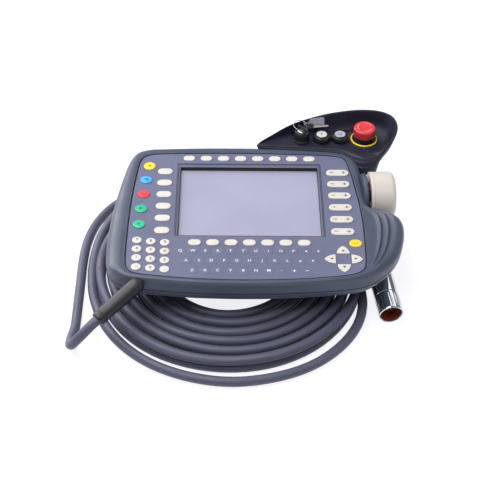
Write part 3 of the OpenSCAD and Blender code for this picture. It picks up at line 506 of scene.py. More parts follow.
class Draft:
    """A mesh under construction, in millimetres, in the key panel's frame or a place of its own."""

    def __init__(self, name: str, place: Matrix | None = None) -> None:
        """Starts an empty draft.

        Args:
            name: the finished object's name.
            place: turns the draft's own millimetres into the key panel's.
        """
        self.name = name
        self.place = place or Matrix.Identity(4)
        self.mesh = bmesh.new()
        self.surfaces: list[Surface] = []

    def ring(self, points: Iterable[Vector]) -> list[bmesh.types.BMVert]:
        """Adds one ring of vertices.

        Args:
            points: the ring's points.
        Returns:
            Its vertices.
        """
        return [self.mesh.verts.new(self.place @ Vector(p)) for p in points]

    def tint(self, surface: Surface) -> int:
        """The material index of a surface in this draft.

        Args:
            surface: the surface.
        Returns:
            Its index.
        """
        if surface not in self.surfaces:
            self.surfaces.append(surface)
        return self.surfaces.index(surface)

    def loft(self, rings: Sequence[Sequence[Vector]], surface: Surface, end: bool = True,
             loop: bool = False, tints: Sequence[Surface] | None = None) -> None:
        """Joins rings of equal counts with quads and closes the first ring.

        Args:
            rings: the rings, in order.
            surface: the finish of the faces.
            end: whether the last ring is closed as well.
            loop: whether the last ring joins the first.
            tints: a finish for each stretch between rings, where they differ.
        """
        made = [self.ring(r) for r in rings]
        spans = list(zip(made, made[1:] + made[:1])) if loop else list(zip(made, made[1:]))
        n = len(made[0])
        for j, (low, high) in enumerate(spans):
            index = self.tint(tints[j] if tints else surface)
            for i in range(n):
                face = self.mesh.faces.new((low[i], low[(i + 1) % n], high[(i + 1) % n], high[i]))
                face.material_index = index
        if loop:
            return
        self.mesh.faces.new(list(reversed(made[0]))).material_index = self.tint(tints[0] if tints else surface)
        if end:
            self.mesh.faces.new(made[-1]).material_index = self.tint(tints[-1] if tints else surface)

    def lathe(self, profile: Profile, surface: Surface, n: int = 64, shift: Point = (0, 0),
              waver: Callable[[float, float], float] | None = None, tints: Sequence[Surface] | None = None) -> None:
        """Turns a profile of radius and height about the local Z axis.

        Args:
            profile: pairs of radius and height, from the bottom, outside, to the top.
            surface: the finish.
            n: segments.
            shift: the axis's place.
            waver: what to add to the radius at an angle and height.
            tints: a finish for each stretch of the profile, where they differ.
        """
        rings = []
        for r, z in profile:
            ring = []
            for i in range(n):
                a = 2 * pi * i / n
                rr = r + (waver(a, z) if waver and r > 0.5 else 0.0)
                ring.append(Vector((shift[0] + rr * cos(a), shift[1] + rr * sin(a), z)))
            rings.append(ring)
        self.loft(rings, surface, tints=tints)

    def grow(self, outline: Callable[[float], Outline], steps: Profile, surface: Surface, centre: Point = (0, 0),
             turn: float = 0.0, dome: float = 0.0) -> None:
        """Lofts one outline at several insets and heights, and closes it flat or with a slight dome.

        Args:
            outline: gives the outline at an inset.
            steps: pairs of inset and height.
            surface: the finish.
            centre: where the outline's origin goes.
            turn: turn about Z, in radians.
            dome: how far the middle of the top stands above its edge.
        """
        c, s = cos(turn), sin(turn)

        def placed(points: Outline, z: float) -> list[Vector]:
            return [Vector((centre[0] + x * c - y * s, centre[1] + x * s + y * c, z)) for x, y in points]

        rings = [placed(outline(inset), z) for inset, z in steps]
        self.loft(rings, surface, end=not dome)
        if dome:
            self.crown(len(rings[0]), dome, surface)

    def crown(self, n: int, dome: float, surface: Surface) -> None:
        """Closes the last ring that was added with a low dome of two rings and a hub.

        Args:
            n: the ring's count of vertices.
            dome: how far the middle stands above the ring.
            surface: the finish.
        """
        index = self.tint(surface)
        self.mesh.verts.ensure_lookup_table()
        last = list(self.mesh.verts)[-n:]
        middle = sum((v.co for v in last), Vector()) / n
        up = (self.place.to_3x3() @ Vector((0, 0, 1))).normalized()
        reach, risen = 1.0, 0.0
        for share, height in ((0.62, 0.75), (0.28, 0.96)):
            inner = [self.mesh.verts.new(middle + (v.co - middle) * share / reach + up * dome * (height - risen))
                     for v in last]
            for i in range(n):
                face = self.mesh.faces.new((last[i], last[(i + 1) % n], inner[(i + 1) % n], inner[i]))
                face.material_index = index
            last, reach, risen = inner, share, height
        hub = self.mesh.verts.new(middle + up * dome)
        for i in range(n):
            self.mesh.faces.new((last[i], last[(i + 1) % n], hub)).material_index = index

    def weld(self) -> None:
        """Joins vertices that lie on each other and turns every face outwards."""
        bmesh.ops.remove_doubles(self.mesh, verts=self.mesh.verts, dist=WELD)
        bmesh.ops.recalc_face_normals(self.mesh, faces=self.mesh.faces)

    def build(self, body: str, slot: str, replaces: Sequence[str] = (), sharp: float = SOFT_EDGE) -> bpy.types.Object:
        """Makes the object, gives it its finishes and puts it on its CAD body.

        Args:
            body: the CAD body it rides on.
            slot: the record's material slot; it is not used.
            replaces: the CAD nodes it stands for.
            sharp: the angle above which an edge stays sharp.
        Returns:
            The object.
        """
        self.weld()
        for vert in self.mesh.verts:
            vert.co = metres(vert.co)
        data = as_mesh(self.name, self.mesh)
        for surface in self.surfaces:
            data.materials.append(Paint.of(surface))
        return settle(self.name, data, body, replaces, sharp)


def settle(name: str, data: bpy.types.Mesh, body: str, replaces: Sequence[str] = (),
           sharp: float = SOFT_EDGE) -> bpy.types.Object:
    """Links a finished mesh as a piece on its CAD body.

    Args:
        name: the piece's name.
        data: its mesh, in metres.
        body: the CAD body.
        replaces: CAD nodes it stands for.
        sharp: the angle above which an edge stays sharp.
    Returns:
        The object.
    """
    smoothed(data, sharp)
    thing = linked(name, data)
    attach(thing, body)
    if replaces:
        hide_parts(*replaces)
    return thing


# ---------------------------------------------------------------- repeats and paths by Geometry Nodes

def node_group(name: str, sockets: Sequence[tuple[str, str, object]]) -> bpy.types.NodeTree:
    """Starts a Geometry Nodes group with a geometry in and out and named inputs.

    Args:
        name: the group's name.
        sockets: name, socket type and default of each further input.
    Returns:
        The group, with its two ends in place.
    """
    group = bpy.data.node_groups.new(name, "GeometryNodeTree")
    group.interface.new_socket("Geometry", in_out="INPUT", socket_type="NodeSocketGeometry")
    for label, kind, default in sockets:
        made = group.interface.new_socket(label, in_out="INPUT", socket_type=kind)
        if default is not None:
            made.default_value = default
    group.interface.new_socket("Geometry", in_out="OUTPUT", socket_type="NodeSocketGeometry")
    return group


def sweep_group() -> bpy.types.NodeTree:
    """The group that sweeps a round section along a line of edges.

    Returns:
        The group, with inputs Radius, Sides and Finish.
    """
    group = node_group("sweep_round", [("Radius", "NodeSocketFloat", 0.001), ("Sides", "NodeSocketInt", 12),
                                       ("Finish", "NodeSocketMaterial", None)])
    ends = add(group, "NodeGroupInput")
    line = add(group, "GeometryNodeMeshToCurve", {"Mesh": ends.outputs["Geometry"]})
    section = add(group, "GeometryNodeCurvePrimitiveCircle", {"Radius": ends.outputs["Radius"],
                                                              "Resolution": ends.outputs["Sides"]})
    tube = add(group, "GeometryNodeCurveToMesh", {"Curve": line.outputs["Curve"],
                                                  "Profile Curve": section.outputs["Curve"],
                                                  "Fill Caps": True})
    smooth = add(group, "GeometryNodeSetShadeSmooth", {"Geometry": tube.outputs["Mesh"], "Shade Smooth": True})
    paint = add(group, "GeometryNodeSetMaterial", {"Geometry": smooth.outputs["Geometry"],
                                                   "Material": ends.outputs["Finish"]})
    add(group, "NodeGroupOutput", {"Geometry": paint.outputs["Geometry"]})
    return group


def repeat_group() -> bpy.types.NodeTree:
    """The group that sets one piece on every point, each turned about Z by its own seeded angle.

    Returns:
        The group, with inputs Piece, Turn, Seed and Finish.
    """
    group = node_group("repeat_piece", [("Piece", "NodeSocketObject", None), ("Turn", "NodeSocketFloat", 0.0),
                                        ("Seed", "NodeSocketInt", 3), ("Finish", "NodeSocketMaterial", None)])
    ends = add(group, "NodeGroupInput")
    piece = add(group, "GeometryNodeObjectInfo", {"Object": ends.outputs["Piece"]})
    low = add(group, "ShaderNodeMath", {0: ends.outputs["Turn"], 1: -1.0}, operation="MULTIPLY")
    angle = add(group, "FunctionNodeRandomValue", {2: low.outputs[0], 3: ends.outputs["Turn"],
                                                   "Seed": ends.outputs["Seed"]},
                data_type="FLOAT")
    turn = add(group, "ShaderNodeCombineXYZ", {"Z": angle.outputs[1]})
    spread = add(group, "GeometryNodeInstanceOnPoints", {"Points": ends.outputs["Geometry"],
                                                         "Instance": piece.outputs["Geometry"],
                                                         "Rotation": turn.outputs["Vector"]})
    real = add(group, "GeometryNodeRealizeInstances", {"Geometry": spread.outputs["Instances"]})
    paint = add(group, "GeometryNodeSetMaterial", {"Geometry": real.outputs["Geometry"],
                                                   "Material": ends.outputs["Finish"]})
    add(group, "NodeGroupOutput", {"Geometry": paint.outputs["Geometry"]})
    return group


@dataclass
class Tools:
    """The node groups that several sub-assemblies share."""
    sweep: bpy.types.NodeTree = field(default_factory=sweep_group)
    repeat: bpy.types.NodeTree = field(default_factory=repeat_group)

    def run(self, group: bpy.types.NodeTree, source: bpy.types.Mesh, inputs: dict[str, object]) -> bpy.types.Mesh:
        """Runs a group on a mesh and returns what it makes.

        Args:
            group: the group.
            source: the points or edges it starts from.
            inputs: its named inputs.
        Returns:
            The finished mesh.
        """
        holder = linked("source", source)
        modifier = holder.modifiers.new("nodes", "NODES")
        modifier.node_group = group
        for item in group.interface.items_tree:
            if item.item_type == "SOCKET" and item.in_out == "INPUT" and item.name in inputs:
                modifier[item.identifier] = inputs[item.name]
        holder.update_tag()
        bpy.context.view_layer.update()
        made = evaluated(holder)
        holder.modifiers.remove(modifier)
        bpy.data.objects.remove(holder)
        return made

    def tube(self, name: str, path: Sequence[Vector], r: float, surface: Surface, sides: int = 12,
             closed: bool = False) -> bpy.types.Mesh:
        """Sweeps a round section along points in millimetres.

        Args:
            name: the mesh's name.
            path: the section's centres.
            r: the section's radius.
            surface: the finish.
            sides: sides of the section.
            closed: whether the path is a loop.
        Returns:
            The tube, in metres, with its length and girth as UV in metres.
        """
        line = bpy.data.meshes.new(name)
        n = len(path)
        edges = [(i, i + 1) for i in range(n - 1)] + ([(n - 1, 0)] if closed else [])
        line.from_pydata([metres(p) for p in path], edges, [])
        made = self.run(self.sweep, line, {"Radius": r * MM, "Sides": sides, "Finish": Paint.of(surface)})
        made.name = name
        gap = (Vector(path[1]) - Vector(path[0])).length * MM
        sheet = made.uv_layers.new(name="sweep")
        for face in made.polygons:
            spots = [divmod(v, sides) for v in face.vertices]
            wraps = max(k for _, k in spots) - min(k for _, k in spots) > sides / 2
            laps = max(j for j, _ in spots) - min(j for j, _ in spots) > n / 2
            for loop, (j, k) in zip(face.loop_indices, spots):
                sheet.data[loop].uv = ((k or sides * wraps) / sides * 2 * pi * r * MM, (j or n * laps) * gap)
        return made

    def spread(self, name: str, piece: bpy.types.Object, points: Sequence[Vector], surface: Surface,
               turn: float = 0.0) -> bpy.types.Mesh:
        """Sets a piece on each of several points in millimetres.

        Args:
            name: the mesh's name.
            piece: a hidden object, in metres about its own origin.
            points: the places.
            surface: the finish.
            turn: how far each may be turned, in radians.
        Returns:
            The repeated mesh.
        """
        dots = bpy.data.meshes.new(name)
        dots.from_pydata([metres(p) for p in points], [], [])
        made = self.run(self.repeat, dots, {"Piece": piece, "Turn": turn, "Seed": 7, "Finish": Paint.of(surface)})
        made.name = name
        return made


def pattern_piece(draft: Draft, finish: Surface) -> bpy.types.Object:
    """Turns a draft into an unlinked pattern for a repeat, in metres about the origin.

    Args:
        draft: the pattern's draft.
        finish: its finish.
    Returns:
        The pattern object, which is removed once it has been repeated.
    """
    draft.weld()
    for vert in draft.mesh.verts:
        vert.co *= MM
    data = as_mesh(draft.name, draft.mesh)
    data.materials.append(Paint.of(finish))
    smoothed(data, SOFT_EDGE)
    return bpy.data.objects.new(draft.name, data)


TYPE_SIZE = 1.38            # the built-in font's size for a capital of height one
ABOVE, INK = 0.06, 0.0001   # where the print's rays start, and its height on the key, in metres


def lettering(name: str, signs: Sequence[tuple[str, float, float, float]], surface: Surface, body: str,
              onto: bpy.types.Object, bold: float = 0.0) -> bpy.types.Object:
    """Pad-printed signs: plain numbers, single letters, minus, plus and arrows.

    Args:
        name: the piece's name.
        signs: what is printed, its middle's x and y, and its size, in millimetres.
        surface: the ink.
        body: the CAD body it rides on.
        onto: the finished piece it is printed on, seen from above.
        bold: how much each stroke is thickened.
    Returns:
        The printed piece.
    """
    under = BVHTree.FromPolygons([v.co for v in onto.data.vertices], [tuple(p.vertices) for p in onto.data.polygons])
    whole = bmesh.new()
    for text, x, y, size in signs:
        if text in SHAPES:
            part = bmesh.new()
            for outline in SHAPES[text]:
                cx, cy = sum(px for px, _ in outline) / len(outline), sum(py for _, py in outline) / len(outline)
                hub = part.verts.new((cx * size, cy * size, 0))
                ring = [part.verts.new((px * size, py * size, 0)) for px, py in outline]
                for a, b in zip(ring, ring[1:] + ring[:1]):
                    part.faces.new((hub, a, b))
            part.normal_update()
            mesh = as_mesh("sign", part)
        else:
            curve = bpy.data.curves.new("sign", "FONT")
            curve.body = text
            curve.align_x, curve.align_y = "CENTER", "CENTER"
            curve.size = size * TYPE_SIZE
            curve.offset = bold
            curve.resolution_u = 3
            thing = linked("sign", curve)
            mesh = evaluated(thing)
            bpy.data.objects.remove(thing)
        start = len(whole.verts)
        whole.from_mesh(mesh)
        whole.verts.ensure_lookup_table()
        for vert in whole.verts[start:]:
            spot = Vector(((vert.co.x + x) * MM, (vert.co.y + y) * MM, ABOVE))
            hit = under.ray_cast(spot, Vector((0, 0, -1)))[0]
            vert.co = (hit or spot) + Vector((0, 0, INK))
        bpy.data.meshes.remove(mesh)
    data = as_mesh(name, whole)
    data.materials.append(Paint.of(surface))
    return settle(name, data, body)


def slab(x0: float, y0: float, x1: float, y1: float) -> Outline:
    """An upright rectangle between two corners, counter-clockwise."""
    return [(x0, y0), (x1, y0), (x1, y1), (x0, y1)]


# printed shapes as convex outlines, each about one unit across
SHAPES: dict[str, list[Outline]] = {
    "bar": [slab(-0.5, -0.1, 0.5, 0.1)],
    "plus": [slab(-0.5, -0.1, 0.5, 0.1), slab(-0.1, 0.1, 0.1, 0.5), slab(-0.1, -0.5, 0.1, -0.1)],
    "up": [[(-0.5, -0.4), (0.5, -0.4), (0, 0.5)]],
    "down": [[(-0.5, 0.4), (0, -0.5), (0.5, 0.4)]],
    "left": [[(0.4, -0.5), (0.4, 0.5), (-0.5, 0)]],
    "right": [[(-0.4, 0.5), (-0.4, -0.5), (0.5, 0)]],
    "dot": [circle(0.5, 16)],
    "stroke": [slab(-0.08, -0.5, 0.08, 0.5)],
    "return": [[(-0.5, -0.12), (-0.15, -0.42), (-0.15, 0.18)], slab(-0.15, -0.2, 0.5, -0.04),
               slab(0.34, -0.04, 0.5, 0.42)],
}


# ---------------------------------------------------------------- the camera, the lights and the floor

FLOOR_Z = -71.2
FLOOR_GAP = 0.0006          # the floor lies this far under the lowest turn, in metres
FLOOR_RADII = (0.0, 0.5, 1.2, 2.6, 6.0, 20.0, 70.0)
FLOOR_SIDES = 64
SENSOR, PICTURE = 36.0, 500.0       # the sensor's width in millimetres and the picture's in pixels
PANEL_ASPECT = 0.7
# each light panel's name, place, target and width in metres, and its power in watts
LIGHTS = (
    ("panel_above", (-0.6, -0.1, 1.6), (0, 0, 0), 1.7, 32),
    ("panel_rear", (-0.85, 1.1, 1.4), (-0.1, 0, 0), 1.1, 9.5),
    ("strip_rear", (0.93, 0.93, 1.32), (0.17, -0.15, -0.05), 1.1, 3.6),
    ("panel_front", (0.5, -0.9, 1.6), (0, 0, 0), 0.6, 4),
    ("panel_left", (-1.1, 0.9, 0.5), (-0.1, 0, 0), 1.0, 11),
    ("panel_right", (1.3, -0.5, 0.55), (0.1, -0.05, -0.03), 0.5, 1.3),
)


@dataclass
class Studio:
    """A white sweep, soft light from large panels and a camera on the photograph's line of sight.

    Lengths are in millimetres, angles in degrees and the focal length and aim in pixels.
    """
    distance: float = 1474.0
    elevation: float = 39.7
    yaw: float = 1.17
    roll: float = 1.1
    focal_px: float = 1299.0
    aim_down: float = 49.52      # how far the picture's middle lies under the origin
    aim_side: float = 0.53

    def camera(self) -> None:
        """Sets up the camera."""
        e, s = radians(self.elevation), radians(self.yaw)
        right = Vector((cos(s), -sin(s), 0))
        up = Vector((sin(e) * sin(s), sin(e) * cos(s), cos(e)))
        back = Vector((-cos(e) * sin(s), -cos(e) * cos(s), sin(e)))
        place = back * self.distance
        # the picture's middle, as a direction
        a = radians(self.roll)
        px, py = self.aim_side, self.aim_down
        u = px * cos(a) + py * sin(a)
        v = -(-px * sin(a) + py * cos(a))
        look = (-back * self.focal_px + right * u + up * v).normalized()
        down_px = sin(a) * right - cos(a) * up
        z_axis = -look
        y_axis = -(down_px - down_px.dot(look) * look).normalized()
        x_axis = y_axis.cross(z_axis).normalized()
        data = bpy.data.cameras.new("camera")
        data.lens = SENSOR * self.focal_px / PICTURE
        data.sensor_width = SENSOR
        data.clip_start, data.clip_end = 0.05, 20.0
        thing = linked("camera", data)
        matrix = Matrix((x_axis, y_axis, z_axis)).transposed().to_4x4()
        matrix.translation = metres(place)
        thing.matrix_world = matrix
        bpy.context.scene.camera = thing

    @staticmethod
    def light(name: str, place: Sequence[float], target: Sequence[float], size: float, watts: float) -> None:
        """Adds one soft light panel.

        Args:
            name: the light's name.
            place: where it hangs, in metres.
            target: where it points, in metres.
            size: its width, in metres.
            watts: its power.
        """
        data = bpy.data.lights.new(name, "AREA")
        data.shape = "RECTANGLE"
        data.size, data.size_y = size, size * PANEL_ASPECT
        data.energy = watts
        thing = linked(name, data)
        thing.location = place
        thing.rotation_euler = (Vector(target) - Vector(place)).to_track_quat("-Z", "Y").to_euler()

    @staticmethod
    def floor() -> None:
        """Lays the white sweep under the pendant."""
        sheet = bmesh.new()
        n, z = FLOOR_SIDES, FLOOR_Z * MM + FACE * MM - FLOOR_GAP
        rings = [[sheet.verts.new((x, y, z)) for x, y in circle(r, n if r else 1)] for r in FLOOR_RADII]
        for i in range(n):
            sheet.faces.new((rings[0][0], rings[1][i], rings[1][(i + 1) % n]))
        for low, high in zip(rings[1:], rings[2:]):
            for i in range(n):
                sheet.faces.new((low[i], high[i], high[(i + 1) % n], low[(i + 1) % n]))
        data = as_mesh("studio_floor", sheet)
        data.materials.append(Paint.of(Surface.FLOOR))
        thing = linked("studio_floor", data)

    def build(self) -> None:
        """Builds the whole studio."""
        self.camera()
        self.floor()
        world = bpy.data.worlds.new("studio")
        world.use_nodes = True
        world.node_tree.nodes["Background"].inputs["Color"].default_value = linear("#fdfdff")
        world.node_tree.nodes["Background"].inputs["Strength"].default_value = 0.2
        bpy.context.scene.world = world
        for row in LIGHTS:
            self.light(*row)
        bpy.context.scene.view_settings.view_transform = "Standard"
        bpy.context.scene.view_settings.look = "None"


# ---------------------------------------------------------------- the lead, its boot and its connector

CABLE_R = 5.5
JACKET_R = CABLE_R - 0.06   # the section that is swept, so that turns side by side don't share faces
LOW_Z = FLOOR_Z + CABLE_R
HIGH_Z = FLOOR_Z + 3 * CABLE_R
COIL: Point = (-22.0, -50.0)
TURNS = [77.75, 91.5, 105.25, 119.0, 132.75, 146.5]     # the radii of each layer's turns
TURN_STEPS, CLIMB_STEPS = 72, 24
PATH_STEP = 6.0
BOOT_START = Vector((-121, -134.5, -6))
BOOT_END = Vector((-160.6, -170.2, -22.5))
SLEEVE_L = 56.0
PLUG_L = SLEEVE_L + 36.0
PLUG_TIP = Vector((155, -125, -57.4))
PLUG = Matrix.Translation(PLUG_TIP) @ turned(8, "Z") @ turned(-82.5, "X")
PLUG_AXIS = PLUG.to_3x3() @ Vector((0, 0, 1))
PLUG_TAIL = PLUG_TIP + PLUG_L * PLUG_AXIS
LEAD = [tuple(BOOT_END), (-166, -175, -25), (-180, -182, -37.5), (-190, -175, -55), (-192, -156, -65),
        (-189.4, -138, LOW_Z),
        (-189.4, -107, LOW_Z), (-189.6, -75, LOW_Z), (-189.8, -30, LOW_Z), (-187, 5, LOW_Z), (-178, 38, LOW_Z),
        (-160, 68, LOW_Z), (-134, 90, LOW_Z), (-103, 103, LOW_Z), (-70, 102, LOW_Z), (-40, 96, LOW_Z)]
TAIL = [tuple(PLUG_TAIL), tuple(PLUG_TAIL + 14 * PLUG_AXIS), (137, 8, -42.5), (127, 36, HIGH_Z), (106, 64, HIGH_Z),
        (70, 87, HIGH_Z), (25, 99, HIGH_Z), (-25, 101, HIGH_Z), (-75, 94, HIGH_Z), (-115, 76, -46), (-150, 48, -53),
        (-170, 14, -61.5), (-177.4, -24, LOW_Z), (-177.2, -60, LOW_Z), (-172, -95, LOW_Z), (-158, -133, LOW_Z),
        (-135, -166, LOW_Z), (-104, -192, LOW_Z), (-64, -210, LOW_Z), (-19, -217, LOW_Z), (27, -210, LOW_Z),
        (66, -193, LOW_Z), (97, -166, LOW_Z), (117, -135, LOW_Z), (125, -108, -61), (124, -84, HIGH_Z)]


def ease(t: float) -> float:
    """A smooth step from 0 to 1."""
    t = min(1.0, max(0.0, t))
    return t * t * (3 - 2 * t)


def resample(points: Sequence[Sequence[float]], step: float) -> list[Vector]:
    """Places points at even distances along a line.

    Args:
        points: the line.
        step: the distance between points.
    Returns:
        The new points, with both ends kept.
    """
    line = [Vector(p) for p in points]
    total = sum((b - a).length for a, b in zip(line, line[1:]))
    count = max(2, round(total / step))
    gap = total / count
    out, at, i, left = [line[0].copy()], 0.0, 0, gap
    here = line[0].copy()
    while i < len(line) - 1 and len(out) < count:
        way = line[i + 1] - here
        if way.length >= left:
            here = here + way.normalized() * left
            out.append(here.copy())
            left = gap
        else:
            left -= way.length
            i += 1
            here = line[i].copy()
    out.append(line[-1].copy())
    return out


@dataclass
class Lead:
    """The cable from the boot, round its coil, to the connector, with both ends' fittings."""
    tools: Tools

    def turns(self, radii: Sequence[float], z: float, start: float, after: float,
              seed: float) -> list[tuple[float, float, float]]:
        """One layer of the coil, laid clockwise, which steps from turn to turn in each turn's last fifth.

        Args:
            radii: the turns' radii, in the order they are laid.
            z: height of the layer.
            start: angle where every turn begins, in degrees.
            after: radius that the last turn steps to.
            seed: where its slight unevenness starts.
        Returns:
            Points on the centreline.
        """
        out = []
        steps = [*radii[1:], after]
        for k, (r, nxt) in enumerate(zip(radii, steps)):
            for i in range(TURN_STEPS):
                t = i / TURN_STEPS
                settled = min(1.0, 8 * t, 8 * (1 - t))
                uneven = 0.8 * sin(2 * (t * 2 * pi + seed * (k + 1))) + 0.35 * sin(5 * t * 2 * pi + 1.7 * seed * k)
                rr = r + (nxt - r) * ease((t - 0.8) / 0.2) + settled * uneven
                a = radians(start - 360 * t)
                lift = -0.5 * settled * (1 + sin(3 * t * 2 * pi + 2.3 * seed * (k + 1))) * (z > LOW_Z)
                out.append((COIL[0] + rr * cos(a), COIL[1] + rr * sin(a), z + lift))
        return out

    def route(self) -> list[Vector]:
        """The whole centreline from the boot to the connector, in millimetres.

        Returns:
            Points PATH_STEP apart.
        """
        join = degrees(atan2(LEAD[-1][1] - COIL[1], LEAD[-1][0] - COIL[0]))
        away = degrees(atan2(TAIL[-1][1] - COIL[1], TAIL[-1][0] - COIL[0]))
        inner = TURNS[0] - 2 * CABLE_R
        low = self.turns(TURNS[::-1], LOW_Z, join, inner, 0.4)
        sweep = (join - away) % 360
        climb = []
        for i in range(1, CLIMB_STEPS):
            t = i / CLIMB_STEPS
            rise, out = ease((t - 0.04) / 0.52), ease((t - 0.6) / 0.4)
            a, r = radians(join - sweep * t), inner + (TURNS[0] - inner) * out
            climb.append((COIL[0] + r * cos(a), COIL[1] + r * sin(a), LOW_Z + (HIGH_Z - LOW_Z) * rise))
        high = self.turns(TURNS, HIGH_Z, away, TURNS[-1] + 1.5, 2.0)
        rough = spline(LEAD[:-1], 6, False) + low[2:] + climb + high + spline(TAIL[::-1], 6, False)[1:]
        return resample(rough, PATH_STEP)

    def build(self) -> None:
        """Builds the cable, the boot and the connector."""
        path = self.route()
        mesh = self.tools.tube("lead", path, JACKET_R, Surface.CABLE, 16)
        lead = settle("lead", mesh, HOUSING, ("cable_lead", "cable_coil", "cable_tail"))
        self.boot()
        pieces = self.connector()

    def boot(self) -> None:
        """Builds the smooth strain relief with its knuckle and end lip."""
        way = BOOT_END - BOOT_START
        length = way.length
        turn = way.to_track_quat("Z", "Y").to_matrix().to_4x4()
        boot = Draft("cable_boot_moulding", Matrix.Translation(BOOT_START) @ turn)
        profile = [(0.0, -8.7), (3.4, -8.0), (6.2, -6.1), (8.0, -3.4), (8.7, 0.0), (8.68, 4.0), (8.5, 14.0),
                   (8.3, 24.0), (8.0, 34.0),
                   (7.75, length - 9.0), (7.7, length - 7.6), (8.0, length - 7.0), (8.0, length - 1.6),
                   (7.7, length - 0.6), (6.9, length - 0.05),
                   (5.7, length), (0, length)]
        boot.lathe(profile, Surface.BOOT, 40)
        boot.build(HOUSING, "boot_rubber", ("cable_boot",), 32)

    def connector(self) -> list[bpy.types.Object]:
        """Builds the plated connector: a fluted sleeve, the shell, the insert and its contacts.

        Returns:
            The pieces that go with the cord.
        """
        r = 13.8
        sleeve = Draft("connector_sleeve_turned", PLUG)
        ribs, rib_low, rib_high = 30, 2.0, 22

        def rib(a: float, z: float) -> float:
            if not rib_low < z < rib_high:
                return 0.0
            return -0.25 * (0.5 - 0.5 * cos(ribs * a)) * ease((z - rib_low) / 1.4) * ease((rib_high - z) / 1.4)

        profile = [(12, 12), (12, 0.7), (12.5, 0.1), (13.1, 0), (13.6, 0.35), (r, 0.9), (r, 2.2), (r, 3.5), (r, 12),
                   (r, 20.5), (r, 21.8),
                   (r, 22.3), (13.2, 22.9), (13.2, 24.3), (r, 24.9), (r, SLEEVE_L - 4), (13.3, SLEEVE_L - 3.4),
                   (13.2, SLEEVE_L), (11.2, SLEEVE_L), (11.2, 12)]
        sleeve.lathe(profile, Surface.CHROME, 240, tints=[Surface.INSERT] + [Surface.CHROME] * (len(profile) - 1),
                     waver=rib)
        shell = Draft("connector_shell_turned", PLUG)
        past_sleeve = [(0, -12), (11.1, -12), (11.1, 0.1), (12, 0.3), (12.3, 0.9), (12.3, 7), (11.6, 7.6), (11.6, 9),
                       (12.3, 9.6),
                       (12.3, 19.6), (11.9, 20.6), (11.2, 21), (11.2, 24), (10.2, 29), (9.4, 34)]
        shell.lathe([(x, SLEEVE_L + z) for x, z in past_sleeve] + [(8.6, PLUG_L - 0.6), (8, PLUG_L), (0, PLUG_L)],
                    Surface.SHELL, 96,
                    waver=lambda a, z: 0.12 * cos(48 * a) if SLEEVE_L + 10 < z < SLEEVE_L + 19 else 0.0)
        insert = Draft("connector_insert_moulding", PLUG)
        insert.lathe([(0, 38), (11.1, 38), (11.1, 12.6), (10.6, 12.1), (9.6, 12.1), (9.4, 12.7), (5.6, 12.7),
                      (5.4, 12.1), (0, 12.1)],
                     Surface.INSERT, 64)
        pin = Draft("pin")
        pin.lathe([(0, 0), (0.8, 0), (1, 0.3), (1, 7), (0, 7)], Surface.GOLD, 16)
        pattern = pattern_piece(pin, Surface.GOLD)
        pattern.data.transform(PLUG.to_3x3().to_4x4() @ Matrix.Translation((0, 0, -0.001)))
        spots = [(r * cos(radians(a)), r * sin(radians(a))) for r, step in ((7.4, 30), (3.4, 72))
                 for a in range(0, 360, step)]
        mesh = self.tools.spread("connector_contacts_plated", pattern, [PLUG @ Vector((x, y, 12.2)) for x, y in spots],
                                 Surface.GOLD)
        bpy.data.objects.remove(pattern)
        return [sleeve.build(HOUSING, "chrome", ("connector_sleeve",), 30),
                shell.build(HOUSING, "steel", ("connector_shell",), 30),
                insert.build(HOUSING, "insert_plastic", ("connector_insert",), 30),
                settle("connector_contacts_plated", mesh, HOUSING, ("connector_contacts",))]


# ---------------------------------------------------------------- the housing

BODY_ROWS = [
    (-98, 100.6, -98, 85.2, 0), (-50, 103, -50, 86.4, 0), (5, 103, 5, 86.8, 0), (60, 100.4, 60, 85.2, 0),
             (92, 97.6, 90, 83.6, 0),
    (112, 93.6, 104, 81.4, 0), (122.5, 85.5, 111.6, 77.6, 0), (128, 74, 114.6, 70.5, 0), (130, 60, 116.8, 58, 0),
    (131.5, 40, 119.6, 40, 0), (132.5, 20, 121.6, 20, 0), (133.4, 4, 123.6, 3, 0), (138.5, -9.4, 124.6, -10, 0.2),
    (152, -11, 125.2, -18, 0.8), (164.6, -14.5, 125.7, -27, 1), (171.2, -23, 126, -37, 1), (173, -39, 126.2, -50, 1),
    (170, -60, 126, -64, 1), (163, -82, 125.8, -78, 0.8), (152, -100, 125.4, -92, 0.5), (139, -114, 124.6, -104, 0.1),
    (125, -123.6, 121.6, -114.6, 0), (108, -128.6, 108, -122.6, 0), (70, -133.6, 70, -128, 0),
             (25, -137, 25, -130.9, 0),
    (-20, -137.6, -20, -131.4, 0), (-65, -135.8, -65, -129.2, 0), (-105, -131.4, -101, -125.2, 0),
             (-130, -127.4, -122, -121.8, 0),
    (-146, -118.5, -130.6, -116, 0), (-154.4, -104, -134, -104, 0), (-157, -82, -134.8, -80, 0),
             (-156.4, -40, -134.6, -40, 0),
    (-152.4, 5, -133.2, 5, 0), (-145.8, 50, -130.2, 42, 0), (-139.8, 78, -127.6, 67, 0), (-132, 93, -122.4, 79, 0),
    (-118, 99.2, -112, 83.8, 0)]
FRONT_H, REAR_H, ROOF, LEDGE, PANEL_T = 16.5, 17.5, 9.5, 1.8, 2.0
BACK = -FRONT_H - REAR_H
CREST, CRESTS = 2.8, 3              # the lobe's grip crests: their height and their count
CREST_START, CREST_PITCH = 0.28, 0.18   # as shares of the rim's width
RIM_SWELL = 0.7                     # the rim's fullness over the CAD's
SQUARE_IN = 6.0
SCREWS = [(-142, -86), (-139, 36), (-62, -128.6), (62, -127.4), (-56, 94.4), (52, 92.6), (158.5, -56)]
ENABLE = {"enabling_switch_rear": (-80, 16), "enabling_switch_front": (-80, -42), "enabling_switch_right": (80, -24)}
START = (80, 28)
ENABLE_SIZE = (14.0, 38.0)


